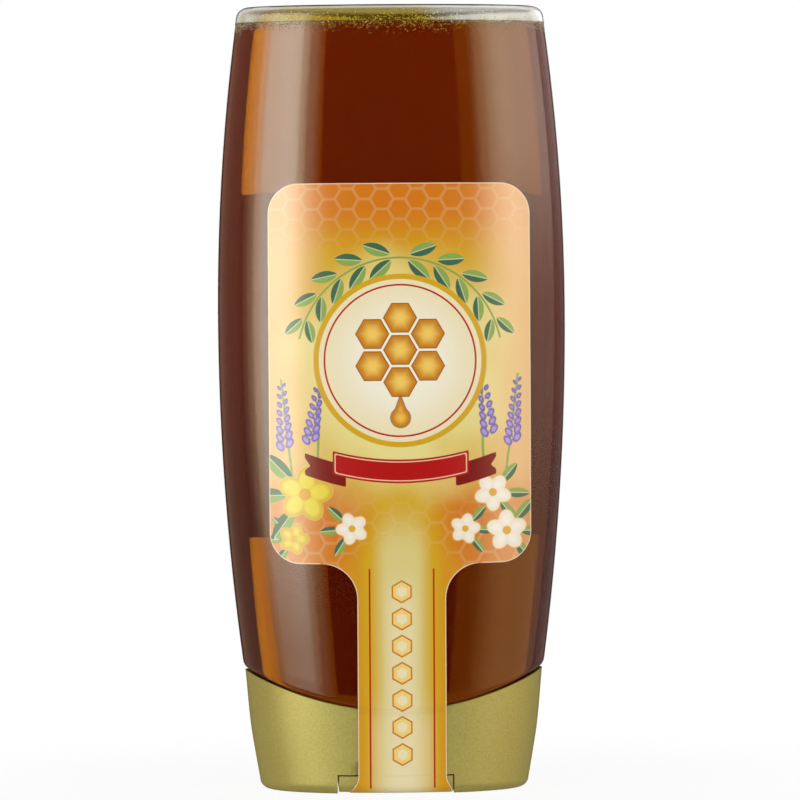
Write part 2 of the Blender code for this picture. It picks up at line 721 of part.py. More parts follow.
def main():
    """Clear the scene and build the pack."""
    for old in list(bpy.data.objects):
        bpy.data.objects.remove(old)
    gold = material("cap_plastic", (0.40, 0.35, 0.09), 0.38)
    paper = material("label_print", (0.85, 0.55, 0.18), 0.35)
    rubber = material("silicone", (0.75, 0.72, 0.66), 0.5)
    make_bottle(material("clear_pet", (0.95, 0.95, 0.93), 0.05, transmission=1.0))
    make_honey(material("honey", (0.33, 0.09, 0.005), 0.05, transmission=0.6))
    make_cap(gold)
    make_lid(gold)
    make_hinge(gold)
    make_valve(rubber)
    make_rings(material("white_plastic", (0.8, 0.8, 0.78), 0.4), rubber)
    make_bottle_labels(paper)
    make_seal_strip(paper)
    make_seal_tab(paper)


main()
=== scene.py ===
"""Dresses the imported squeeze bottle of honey: its surfaces, printed labels, finishes, light and camera.

The file is laid out as an add-on and run as a script. Lengths are metres unless a name says mm, and the
places and sizes of the labels' artwork are millimetres. +Z is up and the front label faces -Y. Every piece
stands where its solid in the frame stands.
"""

import json

import bpy
import numpy as np
from bpy.props import FloatProperty, FloatVectorProperty, IntProperty, PointerProperty
from bpy.types import Operator, Panel, PropertyGroup
from mathutils import Matrix, Vector


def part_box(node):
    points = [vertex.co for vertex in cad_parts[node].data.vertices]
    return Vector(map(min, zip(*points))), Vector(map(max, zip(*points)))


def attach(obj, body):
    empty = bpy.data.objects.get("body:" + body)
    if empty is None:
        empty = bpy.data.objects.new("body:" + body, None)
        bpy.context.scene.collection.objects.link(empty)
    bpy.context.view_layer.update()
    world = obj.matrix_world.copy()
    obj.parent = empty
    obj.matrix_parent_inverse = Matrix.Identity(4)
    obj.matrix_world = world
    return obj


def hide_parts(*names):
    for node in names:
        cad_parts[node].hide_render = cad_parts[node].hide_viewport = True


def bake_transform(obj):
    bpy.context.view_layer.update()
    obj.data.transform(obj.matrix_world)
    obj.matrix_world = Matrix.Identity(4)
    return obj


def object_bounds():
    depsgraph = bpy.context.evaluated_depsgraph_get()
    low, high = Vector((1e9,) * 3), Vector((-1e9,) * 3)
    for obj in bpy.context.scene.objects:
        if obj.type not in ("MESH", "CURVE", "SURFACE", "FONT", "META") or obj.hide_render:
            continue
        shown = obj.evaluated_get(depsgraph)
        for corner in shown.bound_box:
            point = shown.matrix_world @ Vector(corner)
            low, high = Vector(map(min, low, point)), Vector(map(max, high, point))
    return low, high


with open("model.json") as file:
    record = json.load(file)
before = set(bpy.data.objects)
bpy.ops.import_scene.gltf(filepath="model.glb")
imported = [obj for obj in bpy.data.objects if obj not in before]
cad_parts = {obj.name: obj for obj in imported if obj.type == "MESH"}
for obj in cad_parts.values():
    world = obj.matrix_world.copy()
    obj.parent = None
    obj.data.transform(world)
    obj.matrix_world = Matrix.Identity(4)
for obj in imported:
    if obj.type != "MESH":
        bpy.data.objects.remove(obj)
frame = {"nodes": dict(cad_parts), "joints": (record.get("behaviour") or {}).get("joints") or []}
FRAME_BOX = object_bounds()

bl_info = {
    "name": "Squeeze bottle of honey",
    "version": (1, 0, 0),
    "blender": (4, 5, 0),
    "location": "View3D > Sidebar > Squeeze bottle",
    "description": "Models and finishes an upside-down squeeze bottle on its flip-top cap",
    "category": "Object",
}

MM = 0.001
BOTTLE_LOW, BOTTLE_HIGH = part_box("bottle")
LID_LOW, LID_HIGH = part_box("flip_lid")
HONEY_LOW, HONEY_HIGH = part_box("honey_fill")
LID_HINGE = Vector(next(joint["pos_m"] for joint in frame["joints"] if joint["name"] == "lid_flip"))
SMOOTH_EDGE = np.radians(35)
SEED = 7
FIT = 0.01 * MM
WALL_ROWS = 60
TAIL_START = 24 * MM
LABEL_COLUMNS = 132
TAIL_COLUMNS = 44
ARCH = 23.4
COMB_CELL = 7.3
COMB_LIFT = 5.4
MEDALLION_LIFT = 3.0
MEDALLION_RADIUS = 18.5
FLORET_STEP = 1.9
INK_EDGE = 0.07
FAR_OUTSIDE = -9.0
ART_NAMES = "edge medallion leaf rib stem drop ribbon ribbon_tail petal heart floret".split()
GRAIN_DEPTH = 0.01 * MM
SETTLE_STEPS = 12


def length(name, description, default, **options):
    """Return a length property in metres from a default in millimetres."""
    return FloatProperty(name=name, description=description, default=default * MM, unit="LENGTH", **options)


def number(name, description, default, **options):
    """Return a plain number as a property."""
    return FloatProperty(name=name, description=description, default=default, **options)


def ink_colour(name, description, red, green, blue):
    """Return a colour property from the ink's display values, 0 to 255, turned to linear light."""
    colour = linear(red, green, blue)
    return FloatVectorProperty(name=name, description=description, subtype="COLOR", default=colour)


def linear(red, green, blue):
    """Return a display colour, 0 to 255, in linear light by the sRGB curve."""
    share = np.array((red, green, blue)) / 255
    light = np.where(share <= 0.04045, share / 12.92, ((share + 0.055) / 1.055) ** 2.4)
    return tuple(light.tolist())


class BottleSizes(PropertyGroup):
    """Sizes of the oval form, the shell and the honey in it."""

    belly_height: length("Belly height", "Height of the widest section", 109)
    width_arc_above: length("Width arc above", "Radius of the side line above the belly", 500)
    width_arc_below: length("Width arc below", "Radius of the side line below the belly", 605)
    depth_arc_above: length("Depth arc above", "Radius of the front line above the belly", 970)
    depth_arc_below: length("Depth arc below", "Radius of the front line below the belly", 3500)
    section_power: number("Section power", "2 is an ellipse", 2.1, min=2, max=4)
    joint_front_height: length("Joint height", "Height of the joint with the cap at the front", 19.6)
    joint_side_rise: length("Joint rise", "Rise of the joint from the front to the sides", 8.6)
    joint_gap: length("Joint gap", "Gap between bottle and cap", 0.3)
    foot_spread: length("Foot spread", "How far the cap's sides stand outside the arc at its foot", 0.75)
    foot_top: length("Foot top", "Height at which the spread begins", 30)
    foot_blend: length("Foot blend", "Height over which the spread grows", 18)
    wall: length("Wall", "Thickness of the bottle's wall", 0.7)
    base_edge_radius: length("Base edge radius", "Rounding round the base", 2.8)
    base_ring_width: length("Base ring width", "Flat ring that the base stands on", 3.2)
    punt_depth: length("Punt depth", "Depth of the recess in the base", 2.4)
    shoulder_edge: length("Shoulder edge", "Rounding between wall and shoulder", 1.2)
    neck_bore: length("Neck bore", "Inner radius of the neck", 12.4)
    neck_wall: length("Neck wall", "Thickness of the neck", 1.8)
    skin: length("Skin", "Part of the wall that stands before the honey", 0.12)
    meniscus: length("Meniscus", "Rise of the honey along the wall", 0.35)
    foam_count: IntProperty(
        name="Foam bubbles", description="Bubbles along the honey line", default=9000, min=0
    )


class ClosureSizes(PropertyGroup):
    """Sizes of the cap, the lid, the hinge and the valve."""

    step: length("Cap step", "How far the cap stands in from the bottle", 0.35)
    wall: length("Cap wall", "Thickness of the skirt", 1.5)
    end_wall: length("End wall", "Thickness of the cap's end", 1.8)
    edge_radius: length("Edge radius", "Rounding of the cap's lower edge", 2.3)
    pocket_wall: length("Pocket wall", "Wall round the lid's pocket", 1.4)
    deck: length("Deck", "Thickness of the deck over the lid", 1.5)
    lid_panel: length("Lid panel", "Thickness of the lid", 1.3)
    lid_gap: length("Lid gap", "Seam round the lid", 0.3)
    hinge_span: length("Hinge span", "Gap that the hinge bands bridge", 1.8)
    band_width: length("Band width", "Width of each hinge band", 6.0)
    film_spacing: length("Film spacing", "Distance between the two side films", 15.0)
    film_thickness: length("Film thickness", "Thickness of the side films", 0.4)
    strap_length: length("Strap length", "Length of the middle strap", 5.4)
    strap_thickness: length("Strap thickness", "Thickness of the middle strap", 0.55)
    scoop_width: length("Scoop width", "Width of the thumb scoop", 24.0)
    scoop_height: length("Scoop height", "Height of the thumb scoop", 3.9)
    scoop_depth: length("Scoop depth", "Depth of the thumb scoop", 1.1)
    thread_pitch: length("Thread pitch", "Rise of the thread in one turn", 3.6)
    thread_turns: number("Thread turns", "Turns of the thread", 1.25, min=0.5)
    thread_depth: length("Thread depth", "Height of the thread's ridge", 1.2)
    thread_clearance: length("Thread clearance", "Play between the threads", 0.4)
    thread_width: length("Thread width", "Width of the ridge at its root", 1.3)
    thread_start: length("Thread start", "Height of the ridge's start over the neck's end", 1.6)
    sleeve_wall: length("Sleeve wall", "Thickness of the threaded sleeve", 1.4)
    sleeve_room: length("Sleeve room", "How far the sleeve stays under the dish", 0.6)
    nozzle_wall: length("Nozzle wall", "Thickness and drop of the nozzle", 1.4)
    collar_wall: length("Collar wall", "Thickness of the valve's collar", 1.1)
    hinge_play: length("Hinge play", "Gap at the ends of the hinge bands", 0.15)
    strap_grip: length("Strap grip", "Length of the strap that stays straight at each end", 1.0)
    plug_wall: length("Plug wall", "Thickness of the lid's plug ring", 1.0)
    plug_inset: length("Plug inset", "How far the plug's bore is inside the valve hole", 1.5)
    valve_hole: length("Valve hole", "Radius of the hole for the valve", 6.5)
    valve_slit: length("Valve slit", "Length of each slit in the valve", 6.0)
    slit_gap: length("Slit gap", "Width of each slit", 0.25)
    valve_play: length("Valve play", "Gap round the valve in its collar", 0.3)
    valve_film: length("Valve film", "Thickness of the valve's film", 0.6)
    valve_flange: length("Valve flange", "Thickness of the valve's flange", 1.0)
    ring_reach: length("Ring reach", "How far the retaining ring stands inside the valve hole", 0.1)
    valve_dish: length("Valve dish", "Depth of the valve's dished middle", 0.2)


class LabelPrint(PropertyGroup):
    """Sizes and inks of the labels."""

    shift: length("Label shift", "How far the front label stands to the right", 1.5)
    half_width: length("Half width", "Half the width of the front panel", 29.9)
    top: length("Top", "Height of the panel's upper edge", 139.3)
    bottom: length("Bottom", "Height of the panel's lower edge", 52.7)
    corner: length("Corner", "Radius of the panel's corners", 7.0)
    tail_half_width: length("Tail half width", "Half the width of the tail", 10.1)
    tail_fillet: length("Tail fillet", "Radius between panel and tail", 8.0)
    tab_half_width: length("Tab half width", "Half the width of the tail's end", 12.1)
    tab_length: length("Tab length", "Length folded under the lid", 9.0)
    back_half_width: length("Back half width", "Half the width of the back label", 30.0)
    back_top: length("Back top", "Height of the back label's upper edge", 137.0)
    back_bottom: length("Back bottom", "Height of the back label's lower edge", 58.0)
    lift: length("Lift", "Gap between wall and label", 0.05)
    thickness: length("Thickness", "Thickness of the label film", 0.12)
    amber: ink_colour("Amber", "Top and rim of the panel", 215, 122, 14)
    gold: ink_colour("Gold", "Ground of the panel", 216, 168, 26)
    # This pale ink is partly print and mostly painted highlight: it stands for the softboxes' sheen on the
    # panel's sides.
    peach_and_sheen: ink_colour("Peach", "Pale border of the panel", 250, 200, 148)
    straw: ink_colour("Straw", "Middle stripe of the tail", 224, 206, 130)
    butter: ink_colour("Butter", "Glow behind the medallion", 240, 228, 150)
    cream: ink_colour("Cream", "Medallion, lines and cells", 243, 228, 184)
    leaf_light: ink_colour("Light leaf", "Sunny side of the leaves", 139, 170, 82)
    leaf_dark: ink_colour("Dark leaf", "Shaded side of the leaves", 62, 107, 80)
    red: ink_colour("Red", "Ribbon and lines", 184, 14, 12)
    honey_ink: ink_colour("Honey ink", "Comb and drop", 206, 126, 18)
    petal: ink_colour("Petal", "Pale blossoms", 250, 244, 226)
    buttercup: ink_colour("Buttercup", "Yellow blossoms", 240, 218, 70)
    violet: ink_colour("Violet", "Flower spikes", 122, 98, 176)


class Finishes(PropertyGroup):
    """Colours and clearness of the materials."""

    honey_tint: FloatVectorProperty(
        name="Honey tint",
        description="Share of light that passes",
        subtype="COLOR",
        default=(0.78, 0.61, 0.02),
    )
    honey_density: number("Honey density", "Absorption per metre", 225, min=0)
    cap_gold: ink_colour("Cap gold", "Olive-gold plastic", 175, 163, 85)
    valve_white: ink_colour("Valve", "Milky silicone", 226, 222, 212)
    liner_white: ink_colour("Liner", "White liner and ring", 232, 232, 228)


class StudioSettings(PropertyGroup):
    """Camera and light."""

    lens_mm: number("Lens", "Focal length on a 36 mm sensor", 247.6)
    distance: length("Distance", "From the camera to the bottle's axis", 1270)
    eye_height: length("Eye height", "Height of the camera", 126.4)
    aim_height: length("Aim height", "Height at which the camera looks", 89.4)
    aim_side: length("Aim side", "How far right of the axis the camera looks", 1.85)
    yaw_deg: number("Yaw", "How far the camera stands to the left", 1.25)
    roll_deg: number("Roll", "Turn of the camera about its view", -0.37)
    key_strength: number("Left softbox", "Brightness that gloss mirrors", 3.8)
    fill_strength: number("Right softbox", "Brightness that gloss mirrors", 1.7)
    rim_strength: number("Rear strip", "Brightness of the strip behind", 2.0)
    left_wash: number("Left wash", "Brightness of the soft light on the left", 3.5)
    right_wash: number("Right wash", "Brightness of the soft light on the right", 3.4)
    back_wash: number("Back wash", "Brightness of the soft light behind", 1.6)
    under_light: number("Under light", "Brightness of the soft light below", 0.5)
    sky_strength: number("Room light", "Even light from all round", 0.25)


class Oval:
    """The form that bottle, cap, lid and labels share, worked out from its sizes.

    The section is an oval of the given power. Its half axes fall away from the belly along circle arcs. The
    joint with the cap follows a round dish: height grows with the square of the distance from the axis.
    """

    def __init__(self, sizes, segments=256):
        self.sizes = sizes
        self.angles = np.arange(segments) * (2 * np.pi / segments)
        self.cos, self.sin = self.section(self.angles)
        self.top = BOTTLE_HIGH.z
        front = self.half_axes(sizes.joint_front_height)[1]
        side = self.half_axes(sizes.joint_front_height + sizes.joint_side_rise)[0]
        self.rise = sizes.joint_side_rise / (side**2 - front**2)
        self.centre = sizes.joint_front_height - self.rise * front**2

    def section(self, angles):
        """Return the oval of half axes 1 at the angles: cos and sin, each with its size raised to 2 / n."""
        power = 2 / self.sizes.section_power
        return [np.sign(part) * np.abs(part) ** power for part in (np.cos(angles), np.sin(angles))]

    def half_axes(self, z):
        """Return half width and half depth: belly size less the drop of a circle arc, R - sqrt(R^2 - d^2).

        From the foot's top down the width gains the foot's spread by a smooth step.
        """
        away = np.asarray(z) - self.sizes.belly_height
        above = away > 0
        width_arc = np.where(above, self.sizes.width_arc_above, self.sizes.width_arc_below)
        depth_arc = np.where(above, self.sizes.depth_arc_above, self.sizes.depth_arc_below)
        width = BOTTLE_HIGH.x - (width_arc - np.sqrt(width_arc**2 - away**2))
        depth = BOTTLE_HIGH.y - (depth_arc - np.sqrt(depth_arc**2 - away**2))
        low = smooth_step((self.sizes.foot_top - np.asarray(z)) / self.sizes.foot_blend)
        return width + self.sizes.foot_spread * low, depth

    def ring(self, z, inset, place=None):
        """Return the oval at a height, drawn in by an inset. It may be placed at another height."""
        width, depth = self.half_axes(z)
        height = z if place is None else place
        x = (width - inset) * self.cos
        y = (depth - inset) * self.sin
        return np.stack((x, y, np.broadcast_to(height, x.shape)), axis=-1)

    def circle(self, radius, z):
        """Return a level circle, or a wavy one if the radius is an array."""
        x = radius * np.cos(self.angles)
        y = radius * np.sin(self.angles)
        return np.stack((x, y, np.broadcast_to(z, x.shape)), axis=-1)

    def dish(self, radius, lift):
        """Return the dish's height: centre + rise r^2, moved along the surface's normal by the lift."""
        return self.centre + self.rise * radius**2 + lift * np.hypot(1, 2 * self.rise * radius)

    def edge(self, inset, lift):
        """Return the heights where the dish meets the wall, by putting the wall's radius in the dish."""
        z = np.full(self.angles.shape, self.sizes.joint_front_height)
        for _ in range(SETTLE_STEPS):
            points = self.ring(z, inset)
            z = self.dish(np.hypot(points[:, 0], points[:, 1]), lift)
        return z

    def wall_at(self, x, z, inset):
        """Return how far the wall stands from the XZ plane: b (1 - |x/a|^n)^(1/n)."""
        width, depth = self.half_axes(z)
        share = np.clip(np.abs(x) / (width - inset), 0, 1)
        power = self.sizes.section_power
        return (depth - inset) * (1 - share**power) ** (1 / power)

    def edge_at(self, x, inset, lift):
        """Return the height where the dish meets the wall at a distance from the middle of the front."""
        z = np.full(np.shape(x), self.sizes.joint_front_height)
        for _ in range(SETTLE_STEPS):
            z = self.dish(np.hypot(x, self.wall_at(x, z, inset)), lift)
        return z

    def corner(self, share, inset, lift, size):
        """Return the shoulder's rounding: a quadratic curve from the dish past the corner to the wall."""
        inner = self.ring(self.edge(inset + size, lift), inset + size)
        inner[:, 2] = self.dish(np.hypot(inner[:, 0], inner[:, 1]), lift)
        tip = self.ring(self.edge(inset, lift), inset)
        outer = self.ring(tip[:, 2] + size, inset)
        return (1 - share) ** 2 * inner + 2 * share * (1 - share) * tip + share**2 * outer

    def dish_ring(self, share, radius, inset, lift):
        """Return a ring on the dish: part of the way in plan from a circle to the oval's edge."""
        edge = self.ring(self.edge(inset, lift), inset)
        points = (1 - share) * self.circle(radius, 0) + share * edge
        points[:, 2] = self.dish(np.hypot(points[:, 0], points[:, 1]), lift)
        return points

    def between(self, low, high, share, inset):
        """Return a ring on the wall, part of the way between two sets of heights."""
        return self.ring(low + share * (high - low), inset)


def shares(count):
    """Return evenly spaced shares from 0 to 1."""
    return np.linspace(0, 1, count + 1)


def smooth_step(share):
    """Return s^2 (3 - 2 s) of a share held between 0 and 1."""
    share = np.clip(share, 0, 1)
    return share**2 * (3 - 2 * share)


def mesh_of(name, points, quads, ends=()):
    """Return a mesh from an array of points, an array of quads and a few faces with many corners."""
    mesh = bpy.data.meshes.new(name)
    quads = np.asarray(quads, dtype=np.int32).reshape(-1, 4)
    sizes = np.concatenate((np.full(len(quads), 4), [len(end) for end in ends])).astype(np.int32)
    corners = np.concatenate((quads.ravel(), *ends)).astype(np.int32)
    mesh.vertices.add(len(points))
    mesh.vertices.foreach_set("co", np.asarray(points, dtype=np.float32).ravel())
    mesh.loops.add(len(corners))
    mesh.loops.foreach_set("vertex_index", corners)
    mesh.polygons.add(len(sizes))
    starts = np.concatenate(([0], np.cumsum(sizes)[:-1])).astype(np.int32)
    mesh.polygons.foreach_set("loop_start", starts)
    mesh.update(calc_edges=True)
    mesh.validate()
    return mesh


def ring_mesh(name, rings, looped=False):
    """Return a closed skin through rings. Each ring joins the next, and the ends are flat or joined."""
    rings = np.array(rings)
    rows, count = rings.shape[:2]
    index = np.arange(rows * count).reshape(rows, count)
    lower = index if looped else index[:-1]
    upper = np.roll(index, -1, axis=0) if looped else index[1:]
    quads = np.stack((lower, np.roll(lower, -1, axis=1), np.roll(upper, -1, axis=1), upper), axis=-1)
    ends = () if looped else (index[0][::-1], index[-1])
    return mesh_of(name, rings.reshape(-1, 3), quads, ends)


def sheet_mesh(name, outer, inner):
    """Return a thin closed sheet from two grids of points: two faces and the rim between them."""
    rows, columns = outer.shape[:2]
    front = np.arange(rows * columns).reshape(rows, columns)
    back = front + rows * columns
    faces = []
    for grid, flip in ((front, False), (back, True)):
        quads = np.stack((grid[:-1, :-1], grid[:-1, 1:], grid[1:, 1:], grid[1:, :-1]), axis=-1)
        quads = quads.reshape(-1, 4)
        faces.append(quads[:, ::-1] if flip else quads)
    path = np.concatenate((front[0], front[1:, -1], front[-1, -2::-1], front[-2:0:-1, 0]))
    following = np.roll(path, -1)
    offset = rows * columns
    faces.append(np.stack((path, path + offset, following + offset, following), axis=-1))
    points = np.concatenate((outer.reshape(-1, 3), inner.reshape(-1, 3)))
    return mesh_of(name, points, np.concatenate(faces))


def outward(mesh):
    """Turn a closed mesh's faces outwards if its volume comes out negative."""
    mesh.calc_loop_triangles()
    corners = np.empty(len(mesh.loop_triangles) * 3, dtype=np.int32)
    mesh.loop_triangles.foreach_get("vertices", corners)
    points = np.empty(len(mesh.vertices) * 3)
    mesh.vertices.foreach_get("co", points)
    a, b, c = points.reshape(-1, 3)[corners.reshape(-1, 3)].transpose(1, 0, 2)
    if np.einsum("ij,ij->i", a, np.cross(b, c)).sum() < 0:
        mesh.flip_normals()
    return mesh


def placed(name, data):
    """Return a new object in the scene that shows a mesh, a light or a camera."""
    made = bpy.data.objects.new(name, data)
    bpy.context.scene.collection.objects.link(made)
    return made


def piece(name, mesh, body, materials, replaced=()):
    """Put a finished mesh in the scene as a piece of the object."""
    old = bpy.data.objects.get(name)
    if old is not None and name not in frame["nodes"]:
        bpy.data.objects.remove(old)
    made = placed(name, outward(mesh))
    mesh.shade_smooth()
    mesh.set_sharp_from_angle(angle=SMOOTH_EDGE)
    mesh.materials.clear()
    for material in materials:
        mesh.materials.append(material)
    if body is not None:
        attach(made, body)
    if replaced:
        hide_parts(*replaced)
    return made


def carved(base, changes):
    """Return a mesh cut, joined or trimmed by others: each change is an operation and a mesh."""
    shapes = [placed(base.name, outward(base))]
    for operation, mesh in changes:
        shape = placed(mesh.name, outward(mesh))
        change = shapes[0].modifiers.new(operation, "BOOLEAN")
        change.operation = operation
        change.solver = "EXACT"
        change.object = shape
        shapes.append(shape)
    graph = bpy.context.evaluated_depsgraph_get()
    result = bpy.data.meshes.new_from_object(shapes[0].evaluated_get(graph))
    for shape in shapes:
        bpy.data.objects.remove(shape)
    return result


def box_mesh(name, low, high):
    """Return a box: the eight corners are every mix of the low and high values."""
    x_pair, y_pair, z_pair = zip(low, high)
    corners = [(x, y, z) for z in z_pair for y in y_pair for x in x_pair]
    quads = ((0, 2, 3, 1), (4, 5, 7, 6), (0, 1, 5, 4), (2, 6, 7, 3), (0, 4, 6, 2), (1, 3, 7, 5))
    return mesh_of(name, corners, quads)


def turned(name, oval, profile, looped=True):
    """Return a profile of radius and height points, turned round the axis."""
    return ring_mesh(name, [oval.circle(radius, z) for radius, z in profile], looped)


def rounded_tube(oval, name, bore, outer, low, high, edge):
    """Return a ring of rectangular section whose four corners are quarter circles."""
    profile = []
    corners = ((outer - edge, low + edge, -0.5), (outer - edge, high - edge, 0.0))
    corners += ((bore + edge, high - edge, 0.5), (bore + edge, low + edge, 1.0))
    for radius, z, start in corners:
        for turn in (start + shares(3) / 2) * np.pi:
            profile.append((radius + edge * np.cos(turn), z + edge * np.sin(turn)))
    return turned(name, oval, profile)


def thread_radius(oval, z, radius, depth, start, closure):
    """Return a threaded wall's radius at a height: a ridge whose height climbs by the pitch in each turn.

    The ridge is a trapezium across its width and fades in and out over its first and last eighth.
    """
    lap_share = oval.angles / (2 * np.pi)
    ridge = np.zeros(lap_share.shape)
    flank = 0.45
    for lap in (0, 1):
        turn = lap_share + lap
        along = turn / closure.thread_turns
        fade = np.clip(8 * np.minimum(along, 1 - along), 0, 1)
        away = np.abs(z - start - closure.thread_pitch * turn)
        half = closure.thread_width / 2
        ridge = np.maximum(ridge, fade * np.clip((half - away) / (half * flank), 0, 1))
    return radius + depth * ridge


class Neck:
    """Sizes of the neck and what seals it, worked out from the closure's sizes."""

    def __init__(self, sizes, closure):
        self.radius = sizes.neck_bore + sizes.neck_wall
        self.sleeve_bore = self.radius + closure.thread_depth + closure.thread_clearance
        self.lid_top = LID_HIGH.z
        self.pocket_top = self.lid_top + closure.lid_gap
        self.deck_top = self.pocket_top + closure.deck
        self.end = BOTTLE_LOW.z
        self.thread_start = self.end + closure.thread_start
        self.collar_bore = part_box("dosing_valve")[1].x + closure.valve_play


def base_rings(oval, inset, sink):
    """Return the base: a punt of height depth (1 - s^2)^2, a flat ring and a quarter-round edge."""
    sizes = oval.sizes
    top = oval.top - sink
    rim = oval.ring(oval.top, sizes.base_edge_radius + sizes.base_ring_width)
    rings = []
    for share in (0.03, 0.1, 0.2, 0.3, 0.4, 0.5, 0.6, 0.7, 0.8, 0.87, 0.93, 0.97, 1.0):
        ring = rim * share
        ring[:, 2] = top - sizes.punt_depth * (1 - share**2) ** 2
        rings.append(ring)
    rings.append(oval.ring(oval.top, sizes.base_edge_radius + sizes.base_ring_width / 2, top))
    radius = sizes.base_edge_radius - inset
    for turn in shares(10) * np.pi / 2:
        away = inset + radius * (1 - np.sin(turn))
        rings.append(oval.ring(oval.top - sizes.base_edge_radius, away, top - radius * (1 - np.cos(turn))))
    return rings


def wall_rings(oval, inset, lift, radius, top):
    """Return an inside or outside from a circle on the dish, round the shoulder and up the wall."""
    size = oval.sizes.shoulder_edge
    rings = [oval.dish_ring(share, radius, inset + size, lift) for share in shares(8)[:-1]]
    rings += [oval.corner(share, inset, lift, size) for share in shares(6)]
    low = rings[-1][:, 2]
    line = HONEY_HIGH.z
    rings += [oval.between(low, line, share, inset) for share in shares(WALL_ROWS)[1:]]
    if top > line:
        rings += [oval.ring(line + share * (top - line), inset) for share in (0.25, 0.6)]
    return rings


def bottle_mesh(oval, closure, neck):
    """Return the shell: base, outside wall, shoulder, threaded neck, and the inside back up to the base."""
    sizes = oval.sizes
    lift = sizes.joint_gap / 2
    crown = oval.top - sizes.base_edge_radius
    outside = wall_rings(oval, 0, lift, neck.radius, crown)
    rings = base_rings(oval, 0, 0) + outside[::-1]
    start = oval.dish(neck.radius, lift)
    for z in np.linspace(start, neck.end, 64)[1:]:
        radius = thread_radius(oval, z, neck.radius, closure.thread_depth, neck.thread_start, closure)
        rings.append(oval.circle(radius, z))
    rings.append(oval.circle(sizes.neck_bore, neck.end))
    rings += wall_rings(oval, sizes.wall, lift + sizes.wall, sizes.neck_bore, crown)
    rings += base_rings(oval, sizes.wall, sizes.wall)[::-1]
    return ring_mesh("bottle_shell", rings)


def honey_mesh(oval):
    """Return the honey: as refraction makes it look, it fills the wall nearly to its face.

    Its surface is level, and creeps up the inside of the wall by an exponential curve.
    """
    sizes = oval.sizes
    skin, creep = sizes.skin, sizes.meniscus
    radius = sizes.neck_bore + skin
    level = HONEY_HIGH.z
    rings = [oval.circle(radius * share, HONEY_LOW.z) for share in (0.3, 0.6, 0.9, 1.0)]
    rings.append(oval.circle(radius, HONEY_LOW.z + sizes.wall))
    rings += wall_rings(oval, skin, sizes.joint_gap / 2 + skin, radius, level)
    rings.append(oval.ring(level, sizes.wall, level))
    for away in np.array((0.02, 0.2, 0.5, 0.9, 1.4, 2.2, 4.0, 8.0, 14.0)) * MM:
        rings.append(oval.ring(level, sizes.wall + away, level + creep * np.exp(-away / creep / 2)))
    return ring_mesh("honey_body", rings)


def foam_mesh(oval, count):
    """Return small bubbles along the honey line: icosahedra put where the surface meets the wall.

    Their sizes are few large and many small. Some float and thin out away from the wall, and the rest cling
    to it at heights drawn from a bell curve. Those below the line show through the honey's face, as
    refraction makes it look.
    """
    draw = np.random.default_rng(SEED)
    golden = (1 + 5**0.5) / 2
    corners = np.array([(0, s, t * golden) for s in (-1, 1) for t in (-1, 1)])
    corners = np.concatenate((corners, np.roll(corners, 1, axis=1), np.roll(corners, 2, axis=1)))
    corners /= np.hypot(1, golden)
    gaps = np.linalg.norm(corners[:, None] - corners[None], axis=2)
    near = (gaps > 0.1) & (gaps < 1.2)
    triples = [(i, j, k) for i in range(12) for j in range(i) for k in range(j)]
    faces = np.array([(i, j, k) for i, j, k in triples if near[i, j] and near[j, k] and near[i, k]])
    a, b, c = (corners[faces[:, corner]] for corner in range(3))
    inward = np.einsum("ij,ij->i", np.cross(b - a, c - a), a) < 0
    faces[inward] = faces[inward][:, ::-1]
    least_mm, spread_mm, climb_mm, drift_mm, clinging = 0.06, 0.16, 0.75, 0.9, 0.85
    radius = (least_mm + spread_mm * draw.random(count) ** 3) * MM
    climb = draw.normal(0, climb_mm, count) * MM * (draw.random(count) < clinging)
    drift = np.abs(draw.normal(0, drift_mm, count)) * MM
    away = oval.sizes.wall + radius + np.where(climb == 0, drift, 0)
    away = np.where(climb < 0, np.maximum(oval.sizes.skin + radius * 0.3, radius + FIT), away)
    rise = oval.sizes.meniscus * np.exp(-away / MM) + radius * 0.55 + climb
    z = HONEY_HIGH.z + np.where(climb < 0, climb * 1.3, rise)
    cos, sin = oval.section(draw.random(count) * 2 * np.pi)
    width, depth = oval.half_axes(z)
    centres = np.stack(((width - away) * cos, (depth - away) * sin, z), axis=1)
    points = (centres[:, None] + radius[:, None, None] * corners[None]).reshape(-1, 3)
    triangles = (faces[None] + 12 * np.arange(count)[:, None, None]).reshape(-1, 3)
    mesh = bpy.data.meshes.new("honey_foam")
    mesh.from_pydata(points.tolist(), [], triangles.tolist())
    return mesh


def skirt_rings(oval, floor, inset, radius, top=None):
    """Return an oval block's outside: a quarter-round lower edge, then the wall up to the dish or a level.

    A ring just inside the edge keeps the flat end's shading flat.
    """
    rings = [oval.ring(radius, inset + radius + 0.4 * MM, floor)]
    for turn in shares(8) * np.pi / 2:
        height = floor + radius * (1 - np.cos(turn))
        rings.append(oval.ring(radius, inset + radius * (1 - np.sin(turn)), height))
    start = floor + radius
    if top is None:
        end = oval.edge(inset, -oval.sizes.joint_gap / 2)
        return rings + [oval.between(start, end, share, inset) for share in shares(24)[1:]]
    return rings + [oval.ring(start + share * (top - start), inset) for share in shares(6)[1:]]


